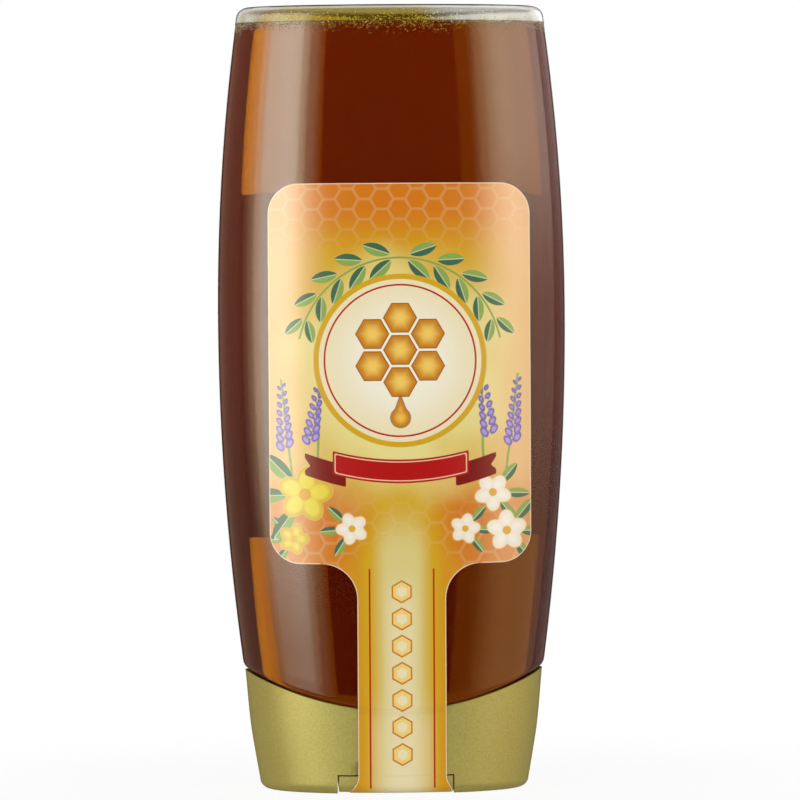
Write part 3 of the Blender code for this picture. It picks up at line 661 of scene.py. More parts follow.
def cap_mesh(oval, closure, neck):
    """Return the cap: cup, lid pocket, deck, threaded sleeve, collar, nozzle and thumb scoop."""
    sizes = oval.sizes
    lift = -sizes.joint_gap / 2
    inside = closure.step + closure.wall
    rim = 0.25 * MM
    rings = skirt_rings(oval, 0, closure.step, closure.edge_radius)
    rings[-1] = oval.ring(oval.edge(closure.step, lift) - rim, closure.step)
    rings.append(oval.ring(oval.edge(closure.step + rim, lift), closure.step + rim))
    top = oval.edge(inside, lift)
    rings += [oval.between(top, closure.end_wall, share, inside) for share in shares(12)]
    cup = ring_mesh("cap_shell", rings)
    far = oval.top
    half = (LID_HIGH.x - LID_LOW.x) / 2 + closure.lid_gap
    back = LID_HINGE.y + closure.hinge_span / 2
    wall = closure.pocket_wall
    low_corner = (-half - wall, -far, closure.end_wall / 2)
    block = box_mesh("pocket_block", low_corner, (half + wall, back + wall, neck.deck_top))
    core_inset = closure.step + closure.wall / 2
    core_rings = skirt_rings(oval, 0, core_inset, closure.edge_radius, neck.deck_top + closure.wall)
    block = carved(block, [("INTERSECT", ring_mesh("core", core_rings))])
    sleeve_top = oval.dish(neck.sleeve_bore, lift) - closure.sleeve_room
    sleeve_radius = neck.sleeve_bore + closure.sleeve_wall
    bottom = neck.pocket_top + closure.deck / 4
    floor = neck.deck_top - closure.deck / 10
    sleeve = [oval.circle(sleeve_radius, z) for z in (bottom, sleeve_top)]
    start = neck.thread_start - closure.thread_pitch / 2
    for z in np.linspace(sleeve_top, floor, 56):
        radius = thread_radius(oval, z, neck.sleeve_bore, -closure.thread_depth, start, closure)
        sleeve.append(oval.circle(radius, z))
    pocket = box_mesh("lid_pocket", (-half, -far, -far), (half, back, neck.pocket_top))
    slot_half = closure.band_width / 2 + closure.lid_gap
    reach = LID_HINGE.y + closure.strap_length / 2 + closure.hinge_play
    ceiling = LID_LOW.z + closure.strap_thickness + closure.lid_gap
    slot = box_mesh("strap_slot", (-slot_half, back - wall / 2, -far), (slot_half, reach, ceiling))
    root = closure.deck / 3
    tip = neck.pocket_top - closure.nozzle_wall
    nozzle = tube(closure.valve_hole, closure.valve_hole + closure.nozzle_wall, tip, neck.pocket_top + root)
    rim_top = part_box("valve_retainer")[1].z
    collar = tube(neck.collar_bore, neck.collar_bore + closure.collar_wall, neck.deck_top - root, rim_top)
    hole = [(closure.valve_hole, 0.0), (closure.valve_hole, neck.deck_top + closure.wall)]
    return carved(
        cup,
        [
            ("UNION", block),
            ("UNION", ring_mesh("sleeve", sleeve)),
            ("DIFFERENCE", pocket),
            ("DIFFERENCE", slot),
            ("UNION", turned("nozzle", oval, nozzle)),
            ("UNION", turned("collar", oval, collar)),
            ("DIFFERENCE", turned("valve_hole", oval, hole, looped=False)),
            ("DIFFERENCE", scoop_mesh(oval, closure, neck)),
        ],
    )


def tube(bore, outer, low, high):
    """Return a tube's closed profile."""
    return ((bore, low), (outer, low), (outer, high), (bore, high))


def scoop_mesh(oval, closure, neck):
    """Return the thumb scoop's cutter: an oval bar across the front whose ends taper to nothing."""
    front = -(oval.half_axes(neck.pocket_top)[1] - closure.step)
    turns = shares(40)[:-1] * 2 * np.pi
    loops = []
    for share in shares(24) * 2 - 1:
        size = np.sqrt(1 - (0.97 * share) ** 6)
        y = front + closure.scoop_depth * size * np.cos(turns)
        z = neck.pocket_top + closure.scoop_height * size * np.sin(turns)
        loops.append(np.stack((np.full(y.shape, share * closure.scoop_width / 2), y, z), axis=-1))
    return ring_mesh("scoop", loops)


def lid_mesh(oval, closure, neck):
    """Return the flip lid: a tray with rounded front lip, strap slot and plug ring."""
    far = oval.top
    half = (LID_HIGH.x - LID_LOW.x) / 2
    recess = LID_LOW.z
    back = LID_HINGE.y - closure.hinge_span / 2
    radius = closure.edge_radius - recess
    block = ring_mesh("lid_tray", skirt_rings(oval, recess, closure.step, radius, neck.lid_top))
    floor = recess + closure.lid_panel
    wall = closure.lid_panel
    core = ring_mesh("tray_core", skirt_rings(oval, floor, closure.step + wall, wall / 2, far))
    tray = box_mesh("tray", (-half + wall, -far, -far), (half - wall, back - wall, far))
    tray = carved(tray, [("INTERSECT", core)])
    slot_half = closure.band_width / 2 + closure.lid_gap
    reach = LID_HINGE.y - closure.strap_length / 2 - closure.hinge_play
    plug_bore = closure.valve_hole - closure.plug_inset
    plug = tube(plug_bore, plug_bore + closure.plug_wall, floor - closure.lid_panel / 2, neck.lid_top)
    return carved(
        block,
        [
            ("INTERSECT", box_mesh("lid_plan", (-half, -far, -far), (half, back, far))),
            ("DIFFERENCE", tray),
            ("DIFFERENCE", box_mesh("lid_slot", (-slot_half, reach, -far), (slot_half, back + wall, far))),
            ("UNION", turned("plug", oval, plug)),
        ],
    )


def band_mesh(name, x, reach, thickness, width, waist):
    """Return a hinge band: a bar with rounded edges that thins by a bell curve over the hinge's axis."""
    rings = []
    turn = shares(24)[:-1] * 2 * np.pi
    for share in shares(24):
        y = LID_HINGE.y + (2 * share - 1) * reach
        thin = 1 - waist * np.exp(-(((share - 0.5) / 0.22) ** 2))
        edge = thickness * thin / 2
        px = x + np.sign(np.cos(turn)) * (width / 2 - edge) + edge * np.cos(turn)
        pz = LID_LOW.z + thickness / 2 + edge * np.sin(turn)
        rings.append(np.stack((px, np.full(px.shape, y), pz), axis=-1))
    return ring_mesh(name, rings)


def valve_mesh(oval, closure):
    """Return the silicone valve: a flange, a sleeve and a dished skin with two crossed slits."""
    low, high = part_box("dosing_valve")
    rim = closure.valve_hole - closure.valve_play
    skin = closure.valve_film
    dish = closure.valve_dish
    flange = high.z - closure.valve_flange
    edge = 0.2 * MM
    dished = (0.05, 0.3, 0.55, 0.8, 1.0)
    profile = [(share * rim * 0.8, low.z + dish * (1 - share**2)) for share in dished]
    profile += [(rim, low.z + skin), (rim, flange), (high.x - edge, flange), (high.x, flange + edge)]
    profile += [(high.x, high.z - edge), (high.x - edge, high.z), (rim - skin, high.z)]
    profile += [(rim - skin, low.z + 2 * skin)]
    inner = rim * 0.8 - skin / 2
    profile += [(share * inner, low.z + skin + dish * (1 - share**2)) for share in dished[::-1]]
    body = turned("valve_skin", oval, profile, looped=False)
    slits = []
    long, short = closure.valve_slit / 2, closure.slit_gap / 2
    for x, y in ((long, short), (short, long)):
        slits.append(("DIFFERENCE", box_mesh("slit", (-x, -y, low.z - MM), (x, y, high.z))))
    return carved(body, slits)


def panel_rows(top, bottom, half_width, corner, bend, count):
    """Return a panel's heights and half widths from the top down, with quarter-round corners."""
    turns = shares(bend) * np.pi / 2
    across, up = corner * np.sin(turns), corner * np.cos(turns)
    inner = half_width - corner
    straight = np.linspace(top - corner, bottom + corner, count)[1:-1]
    z = (top - corner + up, straight, bottom + corner - across)
    half = (inner + across, np.full(straight.shape, half_width), inner + up)
    return np.concatenate(z), np.concatenate(half)


def front_rows(print_):
    """Return the front label's heights and half widths: a panel, two fillets and a tail."""
    bend, slim, fillet = 14, print_.tail_half_width, print_.tail_fillet
    z, half = panel_rows(print_.top, print_.bottom, print_.half_width, print_.corner, bend, 160)
    turns = shares(bend) * np.pi / 2
    tail = np.linspace(print_.bottom - fillet, TAIL_START, 40)[1:]
    z = (z, print_.bottom - fillet + fillet * np.cos(turns) - FIT, tail)
    half = (half, slim + fillet - fillet * np.sin(turns), np.full(tail.shape, slim))
    return np.concatenate(z), np.concatenate(half)


def laid(oval, x, z, inset, side):
    """Return points on the wall at a side: y is the wall's distance, negative in front."""
    return np.stack((x, side * oval.wall_at(x, z, inset), z), axis=-1)


def front_label_mesh(oval, print_):
    """Return the front label laid on the wall, down to just above the joint."""
    z, half = front_rows(print_)
    across = np.linspace(-1, 1, LABEL_COLUMNS)
    x = print_.shift + half[:, None] * across
    heights = np.broadcast_to(z[:, None], x.shape)
    ends = oval.edge_at(x[-1], 0, FIT)
    tail = TAIL_START - shares(12)[1:, None] * (TAIL_START - ends)
    x = np.concatenate((x, np.broadcast_to(x[-1], tail.shape)))
    heights = np.concatenate((heights, tail))
    half = np.concatenate((half, np.full(12, print_.tail_half_width)))
    slope = np.clip(np.gradient(half) / np.minimum(np.gradient(heights[:, 0]), -1e-9), -4, 4)
    away = np.abs(x - print_.shift)
    edge = (half[:, None] - away) / np.hypot(1, slope)[:, None]
    edge = np.minimum(edge, print_.top - heights)
    foot = (away > print_.tail_half_width + print_.tail_fillet) & (heights >= print_.bottom)
    edge = np.where(foot, np.minimum(edge, heights - print_.bottom), edge)
    mesh = dressed_sheet("front_sheet", oval, x, heights, print_, 0, -1)
    add_fields(mesh, {"edge": edge / MM})
    return mesh


def dressed_sheet(name, oval, x, z, print_, inset, side):
    """Return a thin sheet over the wall with its print coordinates, in mm, kept as an attribute."""
    inner = laid(oval, x, z, inset - print_.lift, side)
    outer = laid(oval, x, z, inset - print_.lift - print_.thickness, side)
    mesh = sheet_mesh(name, outer, inner)
    return with_place(mesh, side * -(x - (print_.shift if side < 0 else 0)), z, x.size)


def with_place(mesh, u, v, count):
    """Keep each point's place in the print, and mark the outer face with 1."""
    place = np.zeros((2, count, 3), dtype=np.float32)
    place[:, :, 0] = np.ravel(u) / MM
    place[:, :, 1] = np.ravel(v) / MM
    place[0, :, 2] = 1
    mesh.attributes.new("print_place", "FLOAT_VECTOR", "POINT").data.foreach_set("vector", place.ravel())
    return mesh


def back_label_mesh(oval, print_):
    """Return the back label: a panel with quarter-round corners, laid on the wall behind."""
    width = print_.back_half_width
    z, half = panel_rows(print_.back_top, print_.back_bottom, width, print_.corner, 12, 60)
    x = half[:, None] * np.linspace(-1, 1, 80)
    return dressed_sheet("back_sheet", oval, x, np.broadcast_to(z[:, None], x.shape), print_, 0, 1)


def strip_mesh(oval, closure, print_, neck):
    """Return the tail over the cap: it steps in from the bottle's face to the cap's within 2 mm."""
    across = np.linspace(-1, 1, TAIL_COLUMNS)
    x = print_.shift + print_.tail_half_width * across
    top = oval.edge_at(x, 0, -FIT)
    low = (neck.lid_top + neck.pocket_top) / 2 + FIT
    z = top + shares(40)[:, None] * (low - top)
    inset = closure.step * smooth_step((top - z) / (2 * MM))
    return dressed_sheet("strip_sheet", oval, np.broadcast_to(x, z.shape), z, print_, inset, -1)


def tab_mesh(oval, closure, print_, neck):
    """Return the tail's end: down the lid's lip, round its quarter-round edge and back under the lid."""
    grids = []
    across = np.linspace(-1, 1, TAIL_COLUMNS)
    recess = LID_LOW.z
    limit = LID_HIGH.x - 0.2 * MM
    straight, bend, under = 10, 12, 14
    for gap in (print_.lift + print_.thickness, print_.lift):
        radius = closure.edge_radius - recess + gap
        floor = recess - gap
        turn = np.concatenate((np.ones(straight), 1 - shares(bend), np.zeros(under))) * np.pi / 2
        rise = np.concatenate((1 - shares(straight)[:-1], np.zeros(bend + 1 + under)))
        top = (neck.lid_top + neck.pocket_top) / 2 - FIT
        bottom = floor + radius
        z = floor + radius * (1 - np.cos(turn)) + rise * (top - bottom)
        flare = np.clip((neck.lid_top - z) / (neck.lid_top - recess), 0, 1) ** 2
        half = print_.tail_half_width + flare * (print_.tab_half_width - print_.tail_half_width)
        x = np.clip(print_.shift + half[:, None] * across, -limit, limit)
        wall_z = np.where(z > bottom, z, radius)
        inset = closure.step - gap + radius * (1 - np.sin(turn))
        y = -oval.wall_at(x, wall_z[:, None], inset[:, None])
        reach = np.concatenate((np.zeros(straight + bend + 1), shares(under)[1:]))
        end = -(oval.half_axes(radius)[1] - closure.step) + print_.tab_length
        y = y + reach[:, None] * (end - y)
        grids.append(np.stack((x, y, np.broadcast_to(z[:, None], x.shape)), axis=-1))
    outer, inner = grids
    steps = np.linalg.norm(np.diff(outer[:, TAIL_COLUMNS // 2], axis=0), axis=1)
    along = np.concatenate(([0], np.cumsum(steps)))
    v = outer[0, 0, 2] - along[:, None] + 0 * outer[:, :, 0]
    return with_place(sheet_mesh("tab_sheet", outer, inner), outer[:, :, 0] - print_.shift, v, v.size)


# Artwork: each field is positive inside its shape and falls to 0 at its edge, in mm


def circle_field(u, v, cu, cv, radius):
    """Return radius less the distance from the centre."""
    return radius - np.hypot(u - cu, v - cv)


def polar(u, v, reach, degrees):
    """Return the point at a reach and an angle from a centre."""
    turn = np.radians(degrees)
    return u + reach * np.cos(turn), v + reach * np.sin(turn)


def turned_place(u, v, cu, cv, degrees):
    """Return coordinates about a centre, turned by an angle."""
    turn = np.radians(degrees)
    a, b = u - cu, v - cv
    return a * np.cos(turn) + b * np.sin(turn), b * np.cos(turn) - a * np.sin(turn)


def ellipse_field(u, v, cu, cv, long, short, degrees):
    """Return an ellipse's field: (1 - scaled distance) times its short half axis."""
    a, b = turned_place(u, v, cu, cv, degrees)
    return (1 - np.hypot(a / long, b / short)) * short


def leaf_field(u, v, cu, cv, half_length, half_width, degrees):
    """Return a pointed leaf, the overlap of two circles, and the distance from its midrib."""
    a, b = turned_place(u, v, cu, cv, degrees)
    radius = (half_length**2 + half_width**2) / (2 * half_width)
    return radius - np.hypot(a, np.abs(b) + radius - half_width), b


def leaves_of(u, v, leaves):
    """Return the union of many leaves, and the midrib distance of the leaf that lies on top."""
    field = np.full(u.shape, FAR_OUTSIDE)
    rib = np.zeros(u.shape)
    for leaf in leaves:
        one, middle = leaf_field(u, v, *leaf)
        rib = np.where(one > field, middle, rib)
        field = np.maximum(field, one)
    return field, rib


def garland(centre, radius):
    """Return the leaves of an arch: pairs that lean out and in along an arc, largest at its crown."""
    leaves = []
    for angle in (18, 33, 48, 63, 78, 102, 117, 132, 147, 162):
        size = 0.8 + 0.3 * np.sin(np.radians(angle))
        along = angle - 90 if angle < 90 else angle + 90
        for side, lean in ((2.15, 30), (-2.15, -30)):
            turn = along + (lean if angle < 90 else -lean)
            leaves.append((*polar(0, centre, radius + side * size, angle), 3.1 * size, 1.3 * size, turn))
    return leaves


# Each blossom: its place across and up, its size and its turn in degrees
BLOSSOMS = (
    (-21.8, -27.4, 6.2, 10),
    (-11.2, -35.2, 3.6, 40),
    (-24.4, -37.6, 3.4, 0),
    (21.0, -27.2, 4.2, 55),
    (24.2, -36.0, 4.6, 20),
    (14.6, -35.4, 3.4, 5),
)


def posy_leaves():
    """Return the leaves round each blossom, three to each, pointing away from the label's middle."""
    leaves = []
    for u, v, size, _ in BLOSSOMS:
        for spread in (-48, 0, 52):
            angle = np.degrees(np.arctan2(-0.4 + 0.02 * v, u)) + spread
            reach = size * 1.35
            leaves.append((*polar(u, v, reach, angle), size * 0.75, size * 0.27, angle))
    return leaves


# Each flower spike: the place of its root, its lean in degrees and how many florets it has
SPIKES = ((-26.3, -16.5, 3, 8), (-20.4, -15.0, -9, 7), (25.6, -15.5, -5, 8), (20.2, -13.5, 8, 6))


def spikes():
    """Return the florets of flower spikes: ellipses that climb a leaning stem and shrink to its tip."""
    florets = []
    for root_u, root_v, lean, count in SPIKES:
        for step in range(count):
            climb = FLORET_STEP * step
            size = 1.15 - 0.08 * step
            for side in (-1, 1):
                u = root_u - climb * np.sin(np.radians(lean)) + side * 0.95 * size
                v = root_v + climb + 0.7 * (side > 0)
                florets.append((u, v, 1.15 * size, 0.7 * size, 90 - side * 35))
    return florets


def stem_field(u, v, start, end, half_width):
    """Return a thin round-ended line: its half width less the distance to a segment."""
    away = np.array(end) - start
    share = ((u - start[0]) * away[0] + (v - start[1]) * away[1]) / (away @ away)
    share = np.clip(share, 0, 1)
    return half_width - np.hypot(u - start[0] - share * away[0], v - start[1] - share * away[1])


def artwork(u, v):
    """Return the panel's shapes as fields by name, for places from the panel's middle."""
    middle = MEDALLION_LIFT
    fields = {"medallion": circle_field(u, v, 0, middle, MEDALLION_RADIUS)}
    fields["leaf"], fields["rib"] = leaves_of(u, v, garland(middle, ARCH) + posy_leaves())
    stems = np.full(u.shape, FAR_OUTSIDE)
    for root_u, root_v, lean, count in SPIKES:
        climb = FLORET_STEP * count
        top = (root_u - climb * np.sin(np.radians(lean)), root_v + climb)
        stems = np.maximum(stems, stem_field(u, v, (root_u * 0.93, root_v - 9), top, 0.28))
    fields["stem"] = stems
    drop_fall, drop_radius = 13.0, 2.3
    above_drop = v - middle + drop_fall
    neck = np.minimum(drop_radius - np.abs(u) * 1.15 - above_drop * 0.42, above_drop)
    fields["drop"] = np.maximum(circle_field(u, v, 0, middle - drop_fall, drop_radius), neck)
    sag = -22.2 + 0.0085 * u**2
    fold = np.abs(u) - 15.5
    fields["ribbon"] = np.minimum(2.7 - np.abs(v - sag), -fold)
    behind = np.abs(v - sag + 2.3)
    notch = np.maximum(0, 1.4 - behind) * 0.9
    fields["ribbon_tail"] = np.minimum(2.5 - behind, np.minimum(fold + 3.0, 6.3 - fold - notch))
    petals = np.full(u.shape, FAR_OUTSIDE)
    hearts = np.full(u.shape, FAR_OUTSIDE)
    for cu, cv, size, turn in BLOSSOMS:
        for petal in range(5):
            angle = turn + 72 * petal
            spot = polar(cu, cv, size * 0.52, angle)
            petals = np.maximum(petals, ellipse_field(u, v, *spot, size * 0.5, size * 0.38, angle))
        hearts = np.maximum(hearts, circle_field(u, v, cu, cv, size * 0.22))
    fields["petal"] = petals
    fields["heart"] = hearts
    flowers = np.full(u.shape, FAR_OUTSIDE)
    for floret in spikes():
        flowers = np.maximum(flowers, ellipse_field(u, v, *floret))
    fields["floret"] = flowers
    return fields


def add_fields(mesh, fields):
    """Keep fields on the mesh's points as attributes."""
    for name, values in fields.items():
        data = np.tile(values.ravel().astype(np.float32), 2)
        mesh.attributes.new("art_" + name, "FLOAT", "POINT").data.foreach_set("value", data)


def read_place(mesh):
    """Return the outer face's print coordinates."""
    count = len(mesh.vertices) // 2
    data = np.empty(count * 6, dtype=np.float32)
    mesh.attributes["print_place"].data.foreach_get("vector", data)
    return data.reshape(2, count, 3)[0, :, :2].T


class Shader:
    """A material's or a group's nodes, with short calls to add and join them."""

    def __init__(self, tree):
        self.tree = tree

    def add(self, kind, **values):
        """Add a node. Values name its properties."""
        node = self.tree.nodes.new(kind)
        for name, value in values.items():
            setattr(node, name, value)
        return node

    def join(self, source, target):
        """Join an output to an input, or set the input to a plain value."""
        if isinstance(source, bpy.types.NodeSocket):
            self.tree.links.new(source, target)
        else:
            target.default_value = source

    def give(self, node, **values):
        """Join or set a node's inputs, by socket name."""
        for name, value in values.items():
            self.join(value, node.inputs[name.replace("_", " ")])
        return node

    def math(self, operation, *values):
        """Add a Math node."""
        node = self.add("ShaderNodeMath", operation=operation)
        for value, socket in zip(values, node.inputs):
            self.join(value, socket)
        return node.outputs[0]

    def times(self, value, factor):
        """Multiply two values."""
        return self.math("MULTIPLY", value, factor)

    def less(self, value, taken):
        """Take the second value from the first."""
        return self.math("SUBTRACT", value, taken)

    def size(self, value):
        """Return a value without its sign."""
        return self.math("ABSOLUTE", value)

    def scaled(self, value, factor, offset):
        """Multiply by a factor and add an offset."""
        return self.math("MULTIPLY_ADD", value, factor, offset)

    def stroke(self, value, middle, half):
        """Return a field that is positive within half of the middle."""
        return self.less(half, self.size(self.less(value, middle)))

    def vector(self, operation, *values, scale=None):
        """Add a Vector Math node."""
        node = self.add("ShaderNodeVectorMath", operation=operation)
        for value, socket in zip(values, node.inputs):
            self.join(value, socket)
        if scale is not None:
            self.join(scale, node.inputs["Scale"])
        return node.outputs["Value"] if operation == "LENGTH" else node.outputs["Vector"]

    def mix(self, share, under, over):
        """Mix two colours."""
        node = self.add("ShaderNodeMix", data_type="RGBA")
        self.join(share, node.inputs["Factor"])
        for value, socket in ((under, node.inputs[6]), (over, node.inputs[7])):
            self.join(value if isinstance(value, bpy.types.NodeSocket) else (*value, 1), socket)
        return node.outputs[2]

    def ramp(self, value, low, high):
        """Return a smooth step from 0 at low to 1 at high."""
        node = self.add("ShaderNodeMapRange", interpolation_type="SMOOTHSTEP")
        for socket, given in zip(node.inputs, (value, low, high, 0.0, 1.0)):
            self.join(given, socket)
        return node.outputs[0]

    def attribute(self, name):
        """Return an attribute node."""
        return self.add("ShaderNodeAttribute", attribute_name=name)

    def place(self):
        """Return Object coordinates."""
        return self.add("ShaderNodeTexCoord").outputs["Object"]

    def parts(self, vector):
        """Return a vector's three parts."""
        return self.give(self.add("ShaderNodeSeparateXYZ"), Vector=vector).outputs

    def noise(self, place, scale, detail=2.0):
        """Return a noise value about 0.5."""
        node = self.add("ShaderNodeTexNoise")
        return self.give(node, Vector=place, Scale=scale, Detail=detail).outputs["Fac"]

    def group(self, tree, **values):
        """Place a node group with its values, by socket name."""
        return self.give(self.add("ShaderNodeGroup", node_tree=tree), **values)


FLOAT = "NodeSocketFloat"


def shared_group(name, build):
    """Return a node group, built by a function the first time that it is needed."""
    return bpy.data.node_groups.get(name) or build(name)


def new_group(name, inputs, outputs):
    """Return an empty node group with its sockets, and its input and output nodes."""
    tree = bpy.data.node_groups.new(name, "ShaderNodeTree")
    for label, kind, default in inputs:
        socket = tree.interface.new_socket(label, in_out="INPUT", socket_type=kind)
        if default is not None:
            socket.default_value = default
    for label, kind in outputs:
        tree.interface.new_socket(label, in_out="OUTPUT", socket_type=kind)
    shader = Shader(tree)
    return shader, shader.add("NodeGroupInput"), shader.add("NodeGroupOutput")


def grain_group(name):
    """Return the moulded grain, fine noise and larger waves in Object coordinates: a shade and a height."""
    inputs = (("Scale", FLOAT, 900.0), ("Shade", FLOAT, 0.1), ("Waves", FLOAT, 0.3))
    shader, given, result = new_group(name, inputs, (("Shade", FLOAT), ("Height", FLOAT)))
    scale, shade, waves = list(given.outputs)[:3]
    place = shader.place()
    fine = shader.noise(place, scale, 3.0)
    swing = shader.times(shader.less(fine, 0.5), shade)
    height = shader.math("ADD", fine, shader.times(shader.noise(place, 60.0), waves))
    shader.give(result, Shade=shader.math("ADD", swing, 1.0), Height=height)
    return shader.tree


def ink_group(name):
    """Return an ink's edge: 1 where a field is above its offset, with a soft edge of a width in mm."""
    inputs = (("Field", FLOAT, 0.0), ("Offset", FLOAT, 0.0), ("Softness", FLOAT, INK_EDGE))
    shader, given, result = new_group(name, inputs, (("Mask", FLOAT),))
    field, offset, softness = list(given.outputs)[:3]
    share = shader.math("DIVIDE", shader.less(field, offset), softness)
    shader.give(result, Mask=shader.ramp(share, -1.0, 1.0))
    return shader.tree


def comb_group(name):
    """Return a honeycomb: each cell's centre and the distance to its wall.

    Cell centres form two rectangular lattices. The nearer one is the one whose hexagon distance is smaller.
    """
    inputs = (("Place", "NodeSocketVector", None), ("Cell", FLOAT, 4.0))
    outputs = (("Wall", FLOAT), ("Centre", "NodeSocketVector"))
    shader, given, result = new_group(name, inputs, outputs)
    half = (0.75**0.5, 0.5, 0.5)
    place, cell = list(given.outputs)[:2]
    scaled = shader.vector("SCALE", place, scale=shader.math("DIVIDE", 1.0, cell))
    flats, offsets = [], []
    for shift in ((0, 0, 0), (half[0], half[1], 0)):
        moved = shader.vector("ADD", scaled, shift)
        wrapped = shader.vector("WRAP", moved, half, tuple(-value for value in half))
        x, y, _ = shader.parts(shader.vector("ABSOLUTE", wrapped))
        flats.append(shader.math("MAXIMUM", y, shader.scaled(y, 0.5, shader.times(x, half[0]))))
        offsets.append(wrapped)
    wall = shader.less(0.5, shader.math("MINIMUM", *flats))
    nearer = shader.add("ShaderNodeMix", data_type="VECTOR")
    shader.join(shader.math("LESS_THAN", flats[1], flats[0]), nearer.inputs["Factor"])
    shader.join(offsets[0], nearer.inputs[4])
    shader.join(offsets[1], nearer.inputs[5])
    centre = shader.vector("SUBTRACT", scaled, nearer.outputs[1])
    shader.give(result, Wall=shader.times(wall, cell), Centre=shader.vector("SCALE", centre, scale=cell))
    return shader.tree


def new_material(name):
    """Return a material with fresh nodes, and its Principled shader."""
    material = bpy.data.materials.get(name) or bpy.data.materials.new(name)
    material.use_nodes = True
    shader = Shader(material.node_tree)
    material.node_tree.nodes.clear()
    principled = shader.add("ShaderNodeBsdfPrincipled")
    output = shader.add("ShaderNodeOutputMaterial")
    shader.join(principled.outputs["BSDF"], output.inputs["Surface"])
    return material, shader, principled


def bumped(shader, principled, height, distance):
    """Feed a height to the shader's normal."""
    bump = shader.give(shader.add("ShaderNodeBump"), Distance=distance, Strength=1.0, Height=height)
    shader.give(principled, Normal=bump.outputs["Normal"])


def film_material():
    """Return the filled wall's finish: a clear film whose faint red-brown is what turbid honey scatters."""
    material, shader, principled = new_material("filled_wall")
    place = shader.place()
    # Darker towards the cap: the film turns redder and lighter from 40 to 120 mm up the wall.
    depth = shader.ramp(shader.parts(place)[2], 0.04, 0.12)
    colour = shader.mix(depth, (0.36, 0.025, 0), (0.7, 0.06, 0))
    roughness = shader.scaled(shader.noise(place, 40.0), 0.06, 0.02)
    shader.give(principled, Base_Color=colour, Roughness=roughness, Alpha=0.1, IOR=1.5)
    return material


def clear_material():
    """Return the base's finish: clear, faintly wavy plastic with a golden smear of honey on its middle."""
    material, shader, principled = new_material("empty_wall")
    place = shader.place()
    x, _, z = shader.parts(place)
    away = shader.size(shader.math("ADD", x, 0.008))
    away = shader.scaled(shader.noise(place, 120.0, 4.0), 0.022, away)
    rise = shader.ramp(z, HONEY_HIGH.z + 3.4 * MM, HONEY_HIGH.z + 1.4 * MM)
    smear = shader.times(shader.ramp(away, 0.033, 0.023), shader.scaled(rise, 0.7, 0.3))
    tint = shader.mix(shader.ramp(away, 0.045, 0.02), (0.84, 0.85, 0.83), (0.66, 0.64, 0.54))
    colour = shader.mix(smear, tint, (0.62, 0.48, 0.08))
    shader.give(principled, Base_Color=colour, Roughness=0.09, IOR=1.5, Transmission_Weight=1.0)
    bumped(shader, principled, shader.noise(place, 160.0), 0.00012)
    return material


def honey_material(finishes):
    """Return the honey: clear amber that darkens with depth, with faint waves from the wall's moulding."""
    material, shader, principled = new_material("amber_honey")
    shader.give(principled, Base_Color=(1, 1, 1, 1), Roughness=0.02, IOR=1.49, Transmission_Weight=1.0)
    shader.give(principled, Coat_Weight=1.0, Coat_Roughness=0.04)
    stretched = shader.give(shader.add("ShaderNodeMapping"), Vector=shader.place(), Scale=(1.0, 1.0, 0.15))
    bumped(shader, principled, shader.noise(stretched.outputs["Vector"], 45.0), 0.0003)
    inside = shader.add("ShaderNodeVolumeAbsorption")
    shader.give(inside, Color=(*finishes.honey_tint, 1), Density=finishes.honey_density)
    shader.give(material.node_tree.get_output_node("ALL"), Volume=inside.outputs["Volume"])
    return material


def foam_material():
    """Return the bubbles' finish: pale skins with a bright gloss, some more golden than others.

    Those below the honey line are dull gold, and greyer at the bottle's sides.
    """
    material, shader, principled = new_material("honey_bubbles")
    place = shader.place()
    x, _, z = shader.parts(place)
    share = shader.ramp(shader.noise(place, 350.0), 0.4, 0.62)
    skin = shader.mix(share, (0.75, 0.64, 0.32), (0.95, 0.92, 0.8))
    aside = shader.ramp(shader.size(x), 0.016, 0.034)
    sunk = shader.ramp(z, HONEY_HIGH.z + 0.2 * MM, HONEY_HIGH.z - 0.3 * MM)
    deep = shader.mix(aside, (0.33, 0.27, 0.05), (0.45, 0.4, 0.28))
    coat = shader.scaled(sunk, -0.8, 1.0)
    shader.give(principled, Base_Color=shader.mix(sunk, skin, deep), Roughness=0.2, Coat_Weight=coat)
    return material


def plastic_material(name, colour, roughness, shade, bump, metallic=0.0):
    """Return a moulded plastic: its colour and roughness vary with the grain."""
    material, shader, principled = new_material(name)
    grain = shared_group("Moulded grain", grain_group)
    node = shader.group(grain, Scale=2400.0, Shade=shade, Waves=0.5)
    tint = shader.vector("SCALE", colour, scale=node.outputs["Shade"])
    patch = shader.scaled(shader.noise(shader.place(), 90.0), 0.12, roughness - 0.06)
    shader.give(principled, Base_Color=tint, Roughness=patch, Metallic=metallic)
    bumped(shader, principled, node.outputs["Height"], bump)
    return material


def finish_print(shader, principled, colour):
    """Give a print its semi-gloss film: paper grain in colour and height, and a clear coat."""
    place = shader.place()
    fibre = shader.noise(place, 2600.0)
    tint = shader.vector("SCALE", colour, scale=shader.scaled(fibre, 0.05, 0.975))
    shader.give(principled, Base_Color=tint, Roughness=shader.scaled(fibre, 0.05, 0.28))
    shader.give(principled, Coat_Weight=0.8, Coat_Roughness=0.12)
    bumped(shader, principled, shader.noise(place, 500.0), GRAIN_DEPTH)


def backing_material():
    """Return the label's white film, which its edge and its glued side show."""
    material, shader, principled = new_material("label_film")
    colour = shader.mix(shader.noise(shader.place(), 300.0), (0.80, 0.76, 0.68), (0.86, 0.83, 0.76))
    shader.give(principled, Base_Color=colour, Roughness=0.45)
    return material


